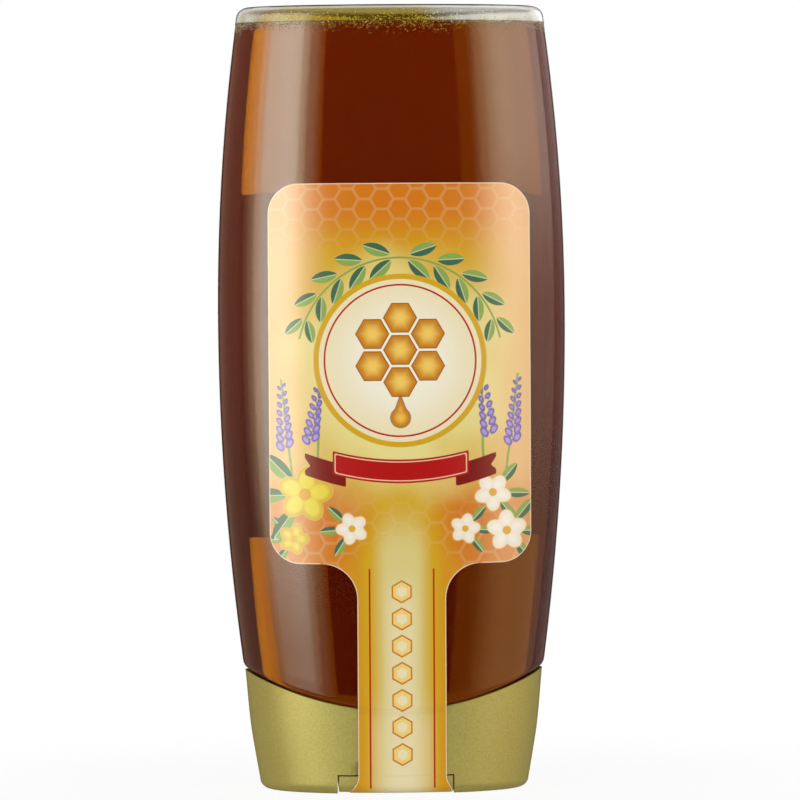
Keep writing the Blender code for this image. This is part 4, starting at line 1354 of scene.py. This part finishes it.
def panel_ground(shader, print_, place, u, v):
    """Return the panel's ground: amber above and below, gold between, a pale glow, and sides partly printed
    pale and mostly painted highlight.
    """
    aside = shader.size(u)
    low = shader.times(shader.ramp(v, -20.0, -31.0), shader.ramp(aside, 3.0, 14.0))
    strong = shader.math("MAXIMUM", shader.ramp(v, 24.0, 39.0), low)
    ground = shader.mix(strong, print_.gold, print_.amber)
    spread = shader.math("POWER", shader.math("DIVIDE", aside, 32.0), 2.0)
    rise = shader.size(shader.math("ADD", v, 1.0))
    rise = shader.math("POWER", shader.math("DIVIDE", rise, 30.0), 2.0)
    away = shader.scaled(shader.noise(place, 0.07, 1.0), 0.9, shader.math("ADD", spread, rise))
    glow = shader.times(shader.ramp(away, 1.6, 0.6), 0.9)
    ground = shader.mix(glow, ground, print_.butter)
    # Partly print and mostly painted highlight: the pale tone towards the sides stands for the softboxes'
    # sheen on the label.
    border_and_sheen = shader.times(shader.ramp(aside, 14.5, 28.0), shader.scaled(glow, -0.35, 0.75))
    border_and_sheen = shader.times(border_and_sheen, shader.scaled(low, -0.5, 1.0))
    return shader.mix(border_and_sheen, ground, print_.peach_and_sheen)


def tail_ground(shader, print_, u, v):
    """Return the tail's ground across its width: gold edges, then straw, and cream in the middle."""
    away = shader.size(u)
    ground = shader.mix(shader.times(shader.ramp(away, 7.2, 10.5), 0.45), print_.gold, print_.amber)
    ground = shader.mix(shader.ramp(away, 7.6, 3.0), ground, print_.straw)
    middle = shader.times(shader.ramp(away, 5.2, 1.2), shader.ramp(v, -42.0, -56.0))
    ground = shader.mix(shader.times(middle, 0.7), ground, print_.cream)
    lower = shader.times(shader.ramp(v, -70.0, -84.0), shader.ramp(away, 8.6, 5.4))
    return shader.mix(shader.times(lower, 0.35), ground, print_.cream)


def printed(shader, ink, under, layers):
    """Print layers over a colour, each where its field is above its offset.

    A layer is a colour and a field, and may add the offset, the edge's softness and the cover, which is a
    share or a mask.
    """
    for colour, field, *edge in layers:
        offset, softness, cover = (*edge, *(0.0, INK_EDGE, 1.0)[len(edge):])
        mask = shader.group(ink, Field=field, Offset=offset, Softness=softness).outputs["Mask"]
        under = shader.mix(shader.times(mask, cover), under, colour)
    return under


def label_material(print_, ink, comb, middle):
    """Return the front label's print, on panel, tail, strip and tab alike."""
    material, shader, principled = new_material("front_print")
    place = shader.attribute("print_place").outputs["Vector"]
    u, height, _ = shader.parts(place)
    v = shader.less(height, middle)
    fields = {name: shader.attribute("art_" + name).outputs["Fac"] for name in ART_NAMES}
    colour = label_ground(shader, print_, ink, comb, place, u, v)
    colour = tail_cells(shader, ink, print_, colour, u, v)
    centre = (0, middle + MEDALLION_LIFT, 0)
    arc = shader.stroke(shader.vector("LENGTH", shader.vector("SUBTRACT", place, centre)), ARCH, 0.22)
    arc = shader.math("MINIMUM", arc, shader.less(v, 8.0))
    glow = shader.mix(shader.ramp(fields["medallion"], 0.0, 12.0), print_.cream, (0.96, 0.90, 0.72))
    colour = printed(shader, ink, colour, (
        (print_.leaf_light, shader.math("MAXIMUM", arc, fields["stem"])),
        (print_.violet, fields["floret"]),
        ((0.55, 0.45, 0.75), fields["floret"], 0.32, 0.2, 0.7),
        (leaf_green(shader, print_, fields["rib"]), fields["leaf"]),
        ((0.9, 0.62, 0.22), fields["petal"], -0.16, 0.12, 0.6),
        (petal_colour(shader, print_, u, fields["petal"]), fields["petal"]),
        ((0.80, 0.42, 0.03), fields["heart"]),
        (print_.gold, fields["medallion"], -1.2, 0.1),
        (glow, fields["medallion"]),
        (print_.red, shader.stroke(fields["medallion"], 1.3, 0.2)),
    ))
    shadow, dark_red = (tuple(0.45 * value for value in tint) for tint in (print_.honey_ink, print_.red))
    colour = medallion_comb(shader, ink, comb, print_, colour, place, middle, shadow)
    amber = shader.mix(shader.ramp(fields["drop"], 0.0, 2.2), (0.55, 0.2, 0.01), (0.95, 0.55, 0.08))
    colour = printed(shader, ink, colour, (
        (shadow, fields["drop"], -0.1, 0.1, 0.8),
        (amber, fields["drop"], 0.1),
        (dark_red, fields["ribbon_tail"]),
        (print_.red, fields["ribbon"]),
        (print_.cream, shader.stroke(fields["ribbon"], 0.55, 0.12), 0.0, INK_EDGE, 0.8),
        ((0.93, 0.80, 0.62), shader.less(0.2, fields["edge"]), 0.0, 0.08, 0.75),
    ))
    finish_print(shader, principled, colour)
    return material


def label_ground(shader, print_, ink, comb, place, u, v):
    """Return the ground: a panel with pale comb in its corners, blended into a tail with two red lines."""
    panel = panel_ground(shader, print_, place, u, v)
    wall = shader.group(comb, Place=place, Cell=4.6).outputs["Wall"]
    lines = shader.times(shader.ramp(wall, 0.5, 0.1), shader.ramp(shader.times(v, v), 520.0, 1500.0))
    panel = shader.mix(shader.times(lines, 0.16), panel, print_.cream)
    start = shader.scaled(shader.times(u, u), 0.05, v)
    colour = shader.mix(shader.ramp(start, -28.0, -41.0), panel, tail_ground(shader, print_, u, v))
    line = shader.group(ink, Field=shader.stroke(shader.size(u), 7.3, 0.19)).outputs["Mask"]
    run = shader.times(shader.ramp(v, -44.2, -44.5), shader.ramp(v, -94.7, -94.4))
    return shader.mix(shader.times(line, run), colour, print_.red)


def leaf_green(shader, print_, rib):
    """Return a leaf's colour: light on one side of its rib, dark on the other, with a pale vein."""
    green = shader.mix(shader.ramp(rib, -0.05, 0.05), print_.leaf_dark, print_.leaf_light)
    vein = shader.ramp(shader.size(rib), 0.16, 0.08)
    return shader.mix(shader.times(vein, 0.6), green, print_.cream)


def petal_colour(shader, print_, u, field):
    """Return the petals' colour, darker at their edges: yellow on the far left and pale elsewhere."""
    pale = shader.mix(shader.ramp(field, 0.1, 1.3), (0.93, 0.80, 0.62), print_.petal)
    yellow = shader.mix(shader.ramp(field, 0.0, 1.2), (0.72, 0.46, 0.02), print_.buttercup)
    return shader.mix(shader.ramp(u, -15.0, -15.3), pale, yellow)


def medallion_comb(shader, ink, comb, print_, colour, place, middle, shadow):
    """Print the medallion's seven cells: honeycomb kept near its middle cell, lighter inside each."""
    moved = shader.vector("SUBTRACT", place, (0, middle + COMB_LIFT, 0))
    cells = shader.group(comb, Place=moved, Cell=COMB_CELL).outputs
    near = shader.math("LESS_THAN", shader.vector("LENGTH", cells["Centre"]), 1.2 * COMB_CELL)
    sun = shader.mix(shader.ramp(cells["Wall"], 0.4, 3.2), print_.honey_ink, (0.93, 0.62, 0.12))
    layers = ((shadow, cells["Wall"], 0.28, INK_EDGE, near), (sun, cells["Wall"], 0.48, INK_EDGE, near))
    return printed(shader, ink, colour, layers)


def tail_cells(shader, ink, print_, colour, u, v):
    """Print a chain of small cells down the tail: one hexagon, repeated at an even step."""
    step = 6.2
    across = shader.size(u)
    up = shader.size(shader.math("WRAP", v, step / 2, -step / 2))
    lean = shader.math("ADD", shader.times(up, 0.75**0.5), shader.times(across, 0.5))
    field = shader.less(2.3, shader.math("MAXIMUM", across, lean))
    inside = shader.times(shader.ramp(v, -46.5, -46.8), shader.ramp(v, -90.2, -89.9))
    tints = ((print_.honey_ink, 0.0), ((0.93, 0.66, 0.2), 0.35), (print_.cream, 1.2))
    layers = [(tint, field, offset, INK_EDGE, inside) for tint, offset in tints]
    return printed(shader, ink, colour, layers)


def back_material(print_, ink, comb):
    """Return the back label's print: cream, with a red frame and gold honeycomb along its top and foot."""
    material, shader, principled = new_material("back_print")
    place = shader.attribute("print_place").outputs["Vector"]
    u, height, _ = shader.parts(place)
    middle = (print_.back_top + print_.back_bottom) / 2 / MM
    away = shader.size(shader.less(height, middle))
    colour = shader.mix(shader.ramp(away, 22.0, 40.0), print_.cream, print_.gold)
    wall = shader.group(comb, Place=place, Cell=5.2).outputs["Wall"]
    lines = shader.times(shader.ramp(wall, 0.5, 0.25), shader.ramp(away, 22.0, 34.0))
    colour = shader.mix(shader.times(lines, 0.75), colour, print_.amber)
    edge = shader.math("MINIMUM", shader.less(26.5, shader.size(u)), shader.less(36.0, away))
    colour = printed(shader, ink, colour, ((print_.red, shader.less(0.22, shader.size(edge))),))
    finish_print(shader, principled, colour)
    return material


def sizes_of(context):
    """Return the scene's sizes, the oval form and the neck."""
    scene = context.scene
    oval = Oval(scene.squeeze_sizes)
    return scene, oval, Neck(scene.squeeze_sizes, scene.squeeze_closure)


class SQUEEZE_OT_bottle(Operator):
    """Models the clear bottle with its base, shoulder and threaded neck"""

    bl_idname = "squeeze.bottle"
    bl_label = "Bottle"

    def execute(self, context):
        scene, oval, neck = sizes_of(context)
        mesh = bottle_mesh(oval, scene.squeeze_closure, neck)
        finish = (film_material(), clear_material())
        made = piece("bottle_shell", mesh, "bottle", finish, ("bottle",))
        made.visible_shadow = False
        centres = np.empty(len(mesh.polygons) * 3)
        made.data.polygons.foreach_get("center", centres)
        clear = centres.reshape(-1, 3)[:, 2] > HONEY_HIGH.z
        made.data.polygons.foreach_set("material_index", clear.astype(np.int32))
        return {"FINISHED"}


class SQUEEZE_OT_honey(Operator):
    """Models the honey and the fine foam along its upper edge"""

    bl_idname = "squeeze.honey"
    bl_label = "Honey"

    def execute(self, context):
        scene, oval, _ = sizes_of(context)
        amber = honey_material(scene.squeeze_finishes)
        piece("honey_body", honey_mesh(oval), "bottle", (amber,), ("honey_fill",))
        bubbles = foam_mesh(oval, scene.squeeze_sizes.foam_count)
        piece("honey_foam", bubbles, "bottle", (foam_material(),))
        return {"FINISHED"}


class SQUEEZE_OT_cap(Operator):
    """Models the cap with its pocket, sleeve and thumb scoop"""

    bl_idname = "squeeze.cap"
    bl_label = "Cap"

    def execute(self, context):
        scene, oval, neck = sizes_of(context)
        mesh = cap_mesh(oval, scene.squeeze_closure, neck)
        piece("cap_shell", mesh, "cap", (cap_plastic(scene),), ("cap_body",))
        return {"FINISHED"}


def cap_plastic(scene):
    """Return the closure's plastic."""
    return plastic_material("pearl_gold", scene.squeeze_finishes.cap_gold, 0.36, 0.55, GRAIN_DEPTH, 0.25)


class SQUEEZE_OT_lid(Operator):
    """Models the flip lid and the three bands that hinge it"""

    bl_idname = "squeeze.lid"
    bl_label = "Lid and hinge"

    def execute(self, context):
        scene, oval, neck = sizes_of(context)
        closure = scene.squeeze_closure
        plastic = (cap_plastic(scene),)
        piece("flip_lid_tray", lid_mesh(oval, closure, neck), "lid", plastic, ("flip_lid",))
        aside = closure.film_spacing / 2
        film = closure.hinge_span / 2 - closure.hinge_play
        strap = closure.strap_length / 2
        thin, thick = closure.film_thickness, closure.strap_thickness
        for name, node, x, reach, grip, thickness, waist in (
            ("hinge_band_left", "hinge_film_left", -aside, film, 0, thin, 0.35),
            ("hinge_band_right", "hinge_film_right", aside, film, 0, thin, 0.35),
            ("hinge_strap", "hinge_spring", 0, strap, closure.strap_grip, thick, 0.25),
        ):
            mesh = band_mesh(name, x, reach, thickness, closure.band_width, waist)
            band = piece(name, mesh, None, plastic, (node,))
            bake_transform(band)
        return {"FINISHED"}


class SQUEEZE_OT_valve(Operator):
    """Models the dosing valve, its retaining ring and the neck's seal"""

    bl_idname = "squeeze.valve"
    bl_label = "Valve and seal"

    def execute(self, context):
        scene, oval, _ = sizes_of(context)
        finishes = scene.squeeze_finishes
        closure = scene.squeeze_closure
        silicone = plastic_material("milky_silicone", finishes.valve_white, 0.42, 0.06, GRAIN_DEPTH)
        white = plastic_material("moulded_white", finishes.liner_white, 0.4, 0.04, GRAIN_DEPTH)
        foam = plastic_material("liner_foam", finishes.liner_white, 0.7, 0.15, 5 * GRAIN_DEPTH)
        mesh = valve_mesh(oval, closure)
        piece("valve_skin", mesh, "cap", (silicone,), ("dosing_valve",))
        ring_bore = closure.valve_hole - closure.ring_reach
        liner_bore = scene.squeeze_sizes.neck_bore
        for name, node, body, slot_name, material, bore, edge in (
            ("retainer_ring", "valve_retainer", "cap", "white_plastic", white, ring_bore, 0.25 * MM),
            ("neck_liner", "neck_seal", "seal_ring", "seal_foam", foam, liner_bore, 0.2 * MM),
        ):
            low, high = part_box(node)
            mesh = rounded_tube(oval, name, bore, high.x, low.z, high.z, edge)
            piece(name, mesh, body, (material,), (node,))
        return {"FINISHED"}


class SQUEEZE_OT_labels(Operator):
    """Lays the front label, its seal over cap and lid, and the back label"""

    bl_idname = "squeeze.labels"
    bl_label = "Labels"

    def execute(self, context):
        scene, oval, neck = sizes_of(context)
        closure, print_ = scene.squeeze_closure, scene.squeeze_print
        ink, comb = shared_group("Ink edge", ink_group), shared_group("Honeycomb", comb_group)
        middle = (print_.top + print_.bottom) / 2 / MM
        front = label_material(print_, ink, comb, middle)
        back = back_material(print_, ink, comb)
        backing = backing_material()
        for name, mesh, body, material, node in (
            ("front_sheet", front_label_mesh(oval, print_), "bottle", front, "front_label"),
            ("strip_sheet", strip_mesh(oval, closure, print_, neck), "cap", front, "seal_strip"),
            ("tab_sheet", tab_mesh(oval, closure, print_, neck), "lid", front, "seal_tab"),
            ("back_sheet", back_label_mesh(oval, print_), "bottle", back, "back_label"),
        ):
            if material is front:
                u, v = read_place(mesh)
                add_fields(mesh, artwork(u, v - middle))
                if node != "front_label":
                    add_fields(mesh, {"edge": edge_of_rows(u)})
            made = piece(name, mesh, body, (material, backing), (node,))
            back_with_film(made.data)
        return {"FINISHED"}


def edge_of_rows(u):
    """Return each point's distance to the nearer end of its own row across the tail."""
    rows = u.reshape(-1, TAIL_COLUMNS)
    left, right = rows.min(axis=1, keepdims=True), rows.max(axis=1, keepdims=True)
    return np.minimum(rows - left, right - rows).ravel()


def back_with_film(mesh):
    """Give the label's second material to every face that isn't wholly on the outer side."""
    places = np.empty(len(mesh.vertices) * 3, dtype=np.float32)
    mesh.attributes["print_place"].data.foreach_get("vector", places)
    corners = np.empty(len(mesh.loops), dtype=np.int32)
    mesh.loops.foreach_get("vertex_index", corners)
    outer = places[2::3][corners].reshape(-1, 4).min(axis=1)
    mesh.polygons.foreach_set("material_index", (outer < 0.5).astype(np.int32))


def area_lamp(name, spot, size, strength, across, fades, seen_by):
    """Add a softbox that faces the bottle and lights one kind of ray: diffuse, glossy or transmission.

    Its light may follow a ramp across its width. A fade multiplies it by a colour, wholly up to one share of
    its height and not at all from a second share up.
    """
    data = bpy.data.lights.new(name, "AREA")
    data.shape = "RECTANGLE"
    data.size, data.size_y = size
    data.energy = strength * np.pi * size[0] * size[1]
    lamp = placed(name, data)
    lamp.location = spot
    target = Vector((0, 0, FRAME_BOX[1].z / 2))
    lamp.rotation_euler = (target - Vector(spot)).to_track_quat("-Z", "Y").to_euler()
    for ray in {"camera", "diffuse", "glossy", "transmission"} - {seen_by}:
        setattr(lamp, "visible_" + ray, False)
    if across:
        data.use_nodes = True
        shader = Shader(data.node_tree)
        width, height, _ = shader.parts(shader.add("ShaderNodeNewGeometry").outputs["Parametric"])
        ramp = shader.give(shader.add("ShaderNodeValToRGB"), Fac=width)
        ramp.color_ramp.interpolation = "EASE"
        elements = ramp.color_ramp.elements
        elements[0].position, elements[1].position = across[0][0], across[-1][0]
        for place, _ in across[1:-1]:
            elements.new(place)
        for element, (_, colour) in zip(elements, across):
            element.color = (*colour, 1)
        colour = ramp.outputs["Color"]
        for low, high, foot in fades:
            share = shader.mix(shader.ramp(height, low, high), foot, (1, 1, 1))
            colour = shader.vector("MULTIPLY", colour, share)
        shader.give(data.node_tree.nodes["Emission"], Color=colour)


def around(azimuth, height):
    """Return a point 1 m from the axis, at degrees from the front towards the left of the picture."""
    turn = np.radians(azimuth)
    return (-np.sin(turn), -np.cos(turn), height)


# Each step of a ramp: its place across the softbox and its light. Each fade: its two shares and its colour
LEFT_RAMP = (
    (0.057, (0.1, 0.07, 0.06)),
    (0.18, (0.39, 0.29, 0.17)),
    (0.29, (1.04, 0.78, 0.54)),
    (0.38, (1.2, 1.15, 0.93)),
    (0.63, (1.3, 1.31, 1.09)),
    (0.68, (1.2, 1.24, 1.01)),
    (0.74, (0.65, 0.69, 0.5)),
    (0.81, (0.2, 0.23, 0.17)),
    (0.92, (0, 0, 0)),
)
RIGHT_RAMP = (
    (0.01, (0.07, 0.11, 0.05)),
    (0.11, (0.77, 0.63, 0.35)),
    (0.17, (1.23, 1.11, 0.71)),
    (0.25, (1.61, 1.45, 1)),
    (0.31, (1.75, 1.61, 1.16)),
    (0.48, (1.37, 1.32, 1)),
    (0.59, (1.2, 1.06, 0.81)),
    (0.77, (0.84, 0.73, 0.59)),
    (1.0, (0.56, 0.49, 0.41)),
)
REAR_RAMP = ((0, (1, 1, 1)), (0.72, (1, 1, 1)), (0.84, (0.75, 0.75, 0.75)), (1, (0.5, 0.5, 0.5)))
LEFT_FADES = ((0.22, 0.4, (0.25, 0.25, 0.25)),)
RIGHT_FADES = ((0.42, 0.56, (0.35, 0.35, 0.35)), (0.28, 0.4, (0.97, 0.6, 0.33)))


class SQUEEZE_OT_stage(Operator):
    """Sets the floor, the room, the softboxes and the camera"""

    bl_idname = "squeeze.stage"
    bl_label = "Stage"

    def execute(self, context):
        scene = context.scene
        studio = scene.squeeze_studio
        scene.view_settings.view_transform = "Standard"
        self.lay_floor()
        self.light_room(scene, studio)
        wash, rear = ((), ()), (REAR_RAMP, ())
        left, right = (LEFT_RAMP, LEFT_FADES), (RIGHT_RAMP, RIGHT_FADES)
        for name, spot, size, strength, ramps, seen_by in (
            ("left_wash", around(50, 0.25), (0.6, 1.0), studio.left_wash, wash, "diffuse"),
            ("right_wash", around(-50, 0.25), (0.6, 1.0), studio.right_wash, wash, "diffuse"),
            ("back_wash", around(180, 0.25), (0.8, 1.0), studio.back_wash, wash, "diffuse"),
            ("under_light", (0, 0, -0.8), (1.2, 1.2), studio.under_light, wash, "diffuse"),
            ("left_softbox", around(52, 0.2), (1.2, 1.4), studio.key_strength, left, "glossy"),
            ("right_softbox", around(-72, 0.2), (1.6, 1.4), studio.fill_strength, right, "glossy"),
            ("rear_strip", around(-130, 0.15), (0.62, 1.2), studio.rim_strength, rear, "transmission"),
        ):
            area_lamp(name, spot, size, strength, *ramps, seen_by)
        self.place_camera(scene, studio)
        return {"FINISHED"}

    def lay_floor(self):
        """Lay a pale floor that the camera alone sees, thin enough for what opens below it to show.

        It lies a hair under the cap's end face, because a ray that passes it skips what is in its plane.
        """
        reach = 0.4
        low = -0.05 * MM
        corners = [(-reach, -reach, low), (reach, -reach, low), (reach, reach, low), (-reach, reach, low)]
        floor = placed("floor", mesh_of("floor", corners, [(0, 1, 2, 3)]))
        material, shader, principled = new_material("pale_floor")
        place = shader.place()
        pale = shader.mix(shader.noise(place, 3.0), (0.9, 0.9, 0.9), (0.93, 0.93, 0.93))
        shader.give(principled, Base_Color=pale, Roughness=1.0, Specular_IOR_Level=0.0)
        above = shader.less(1.0, shader.add("ShaderNodeNewGeometry").outputs["Backfacing"])
        near = shader.times(shader.ramp(shader.vector("LENGTH", place), 0.16, 0.03), above)
        share = shader.add("ShaderNodeMixShader")
        clear = shader.add("ShaderNodeBsdfTransparent")
        given = (shader.scaled(near, -0.08, 1.0), principled.outputs[0], clear.outputs[0])
        for value, socket in zip(given, share.inputs):
            shader.join(value, socket)
        shader.give(material.node_tree.get_output_node("ALL"), Surface=share.outputs[0])
        floor.data.materials.append(material)
        for ray in ("diffuse", "glossy", "transmission", "volume_scatter", "shadow"):
            setattr(floor, "visible_" + ray, False)

    def light_room(self, scene, studio):
        """Light the room: white to the camera and through clear things, dimmer where it lights surfaces.

        What gloss mirrors is white at the sides and dark straight ahead and behind, as between dark cards.
        """
        world = bpy.data.worlds.new("room")
        scene.world = world
        world.use_nodes = True
        shader = Shader(world.node_tree)
        path = shader.add("ShaderNodeLightPath")
        x, y, z = shader.parts(shader.add("ShaderNodeTexCoord").outputs["Generated"])
        right = shader.ramp(x, 0.0, 0.6)
        sides = shader.times(shader.ramp(y, -0.5, 0.1), shader.ramp(y, 0.97, 0.8))
        mirrored = shader.mix(right, (0.3, 0.22, 0.16), (0.5, 0.45, 0.42))
        mirrored = shader.mix(sides, (0, 0, 0), mirrored)
        dim = shader.times(shader.ramp(z, 0.12, -0.02), right)
        mirrored = shader.mix(shader.times(dim, 0.6), mirrored, (0, 0, 0))
        low = shader.ramp(z, 0.03, 0.01)
        aside = shader.scaled(shader.times(low, shader.ramp(x, 0.2, -0.2)), -0.3, 1.0)
        middle = shader.size(shader.less(x, 0.023))
        card = shader.times(shader.ramp(middle, 0.185, 0.179), shader.ramp(y, 0.0, 0.1))
        clear = shader.mix(shader.times(card, low), aside, (0.3, 0.08, 0.02))
        colour = (studio.sky_strength,) * 3
        for ray, value in (("Glossy", mirrored), ("Transmission", clear), ("Camera", (1, 1, 1))):
            colour = shader.mix(path.outputs[f"Is {ray} Ray"], colour, value)
        shader.give(world.node_tree.nodes["Background"], Color=colour)

    def place_camera(self, scene, studio):
        """Stand the camera before the bottle, turned about the axis by the yaw and its view by the roll."""
        data = bpy.data.cameras.new("camera")
        data.lens = studio.lens_mm
        data.sensor_width = 36
        data.clip_start = 0.05
        data.clip_end = 30
        camera = placed("camera", data)
        yaw = np.radians(studio.yaw_deg)
        aside = Vector((np.cos(yaw), -np.sin(yaw), 0)) * studio.aim_side
        back = Vector((-np.sin(yaw), -np.cos(yaw), 0)) * studio.distance
        spot = back + aside + Vector((0, 0, studio.eye_height))
        aim = aside + Vector((0, 0, studio.aim_height))
        camera.location = spot
        look = (aim - spot).to_track_quat("-Z", "Y").to_matrix()
        camera.rotation_euler = (look @ Matrix.Rotation(np.radians(studio.roll_deg), 3, "Z")).to_euler()
        scene.camera = camera


class SQUEEZE_PT_panel(Panel):
    """Lists the steps that build the bottle"""

    bl_idname = "SQUEEZE_PT_panel"
    bl_label = "Squeeze bottle"
    bl_space_type = "VIEW_3D"
    bl_region_type = "UI"
    bl_category = "Squeeze bottle"

    def draw(self, context):
        for step in STEPS:
            self.layout.operator(step.bl_idname)
        for name in GROUPS:
            group = getattr(context.scene, name)
            box = self.layout.box()
            box.label(text=name.replace("squeeze_", "").capitalize())
            for field in GROUPS[name].__annotations__:
                box.prop(group, field)


STEPS = (
    SQUEEZE_OT_bottle,
    SQUEEZE_OT_honey,
    SQUEEZE_OT_cap,
    SQUEEZE_OT_lid,
    SQUEEZE_OT_valve,
    SQUEEZE_OT_labels,
    SQUEEZE_OT_stage,
)
GROUPS = {
    "squeeze_sizes": BottleSizes,
    "squeeze_closure": ClosureSizes,
    "squeeze_print": LabelPrint,
    "squeeze_finishes": Finishes,
    "squeeze_studio": StudioSettings,
}


def register():
    """Register the property groups, the operators and the panel."""
    for kind in (*GROUPS.values(), *STEPS, SQUEEZE_PT_panel):
        bpy.utils.register_class(kind)
    for name, kind in GROUPS.items():
        setattr(bpy.types.Scene, name, PointerProperty(type=kind))


def unregister():
    """Take them away again."""
    for name in GROUPS:
        delattr(bpy.types.Scene, name)
    for kind in (SQUEEZE_PT_panel, *reversed(STEPS), *GROUPS.values()):
        bpy.utils.unregister_class(kind)


def main():
    """Build the bottle step by step."""
    register()
    bpy.ops.squeeze.bottle()
    bpy.ops.squeeze.honey()
    bpy.ops.squeeze.cap()
    bpy.ops.squeeze.lid()
    bpy.ops.squeeze.valve()
    bpy.ops.squeeze.labels()
    bpy.ops.squeeze.stage()


if __name__ == "__main__":
    main()
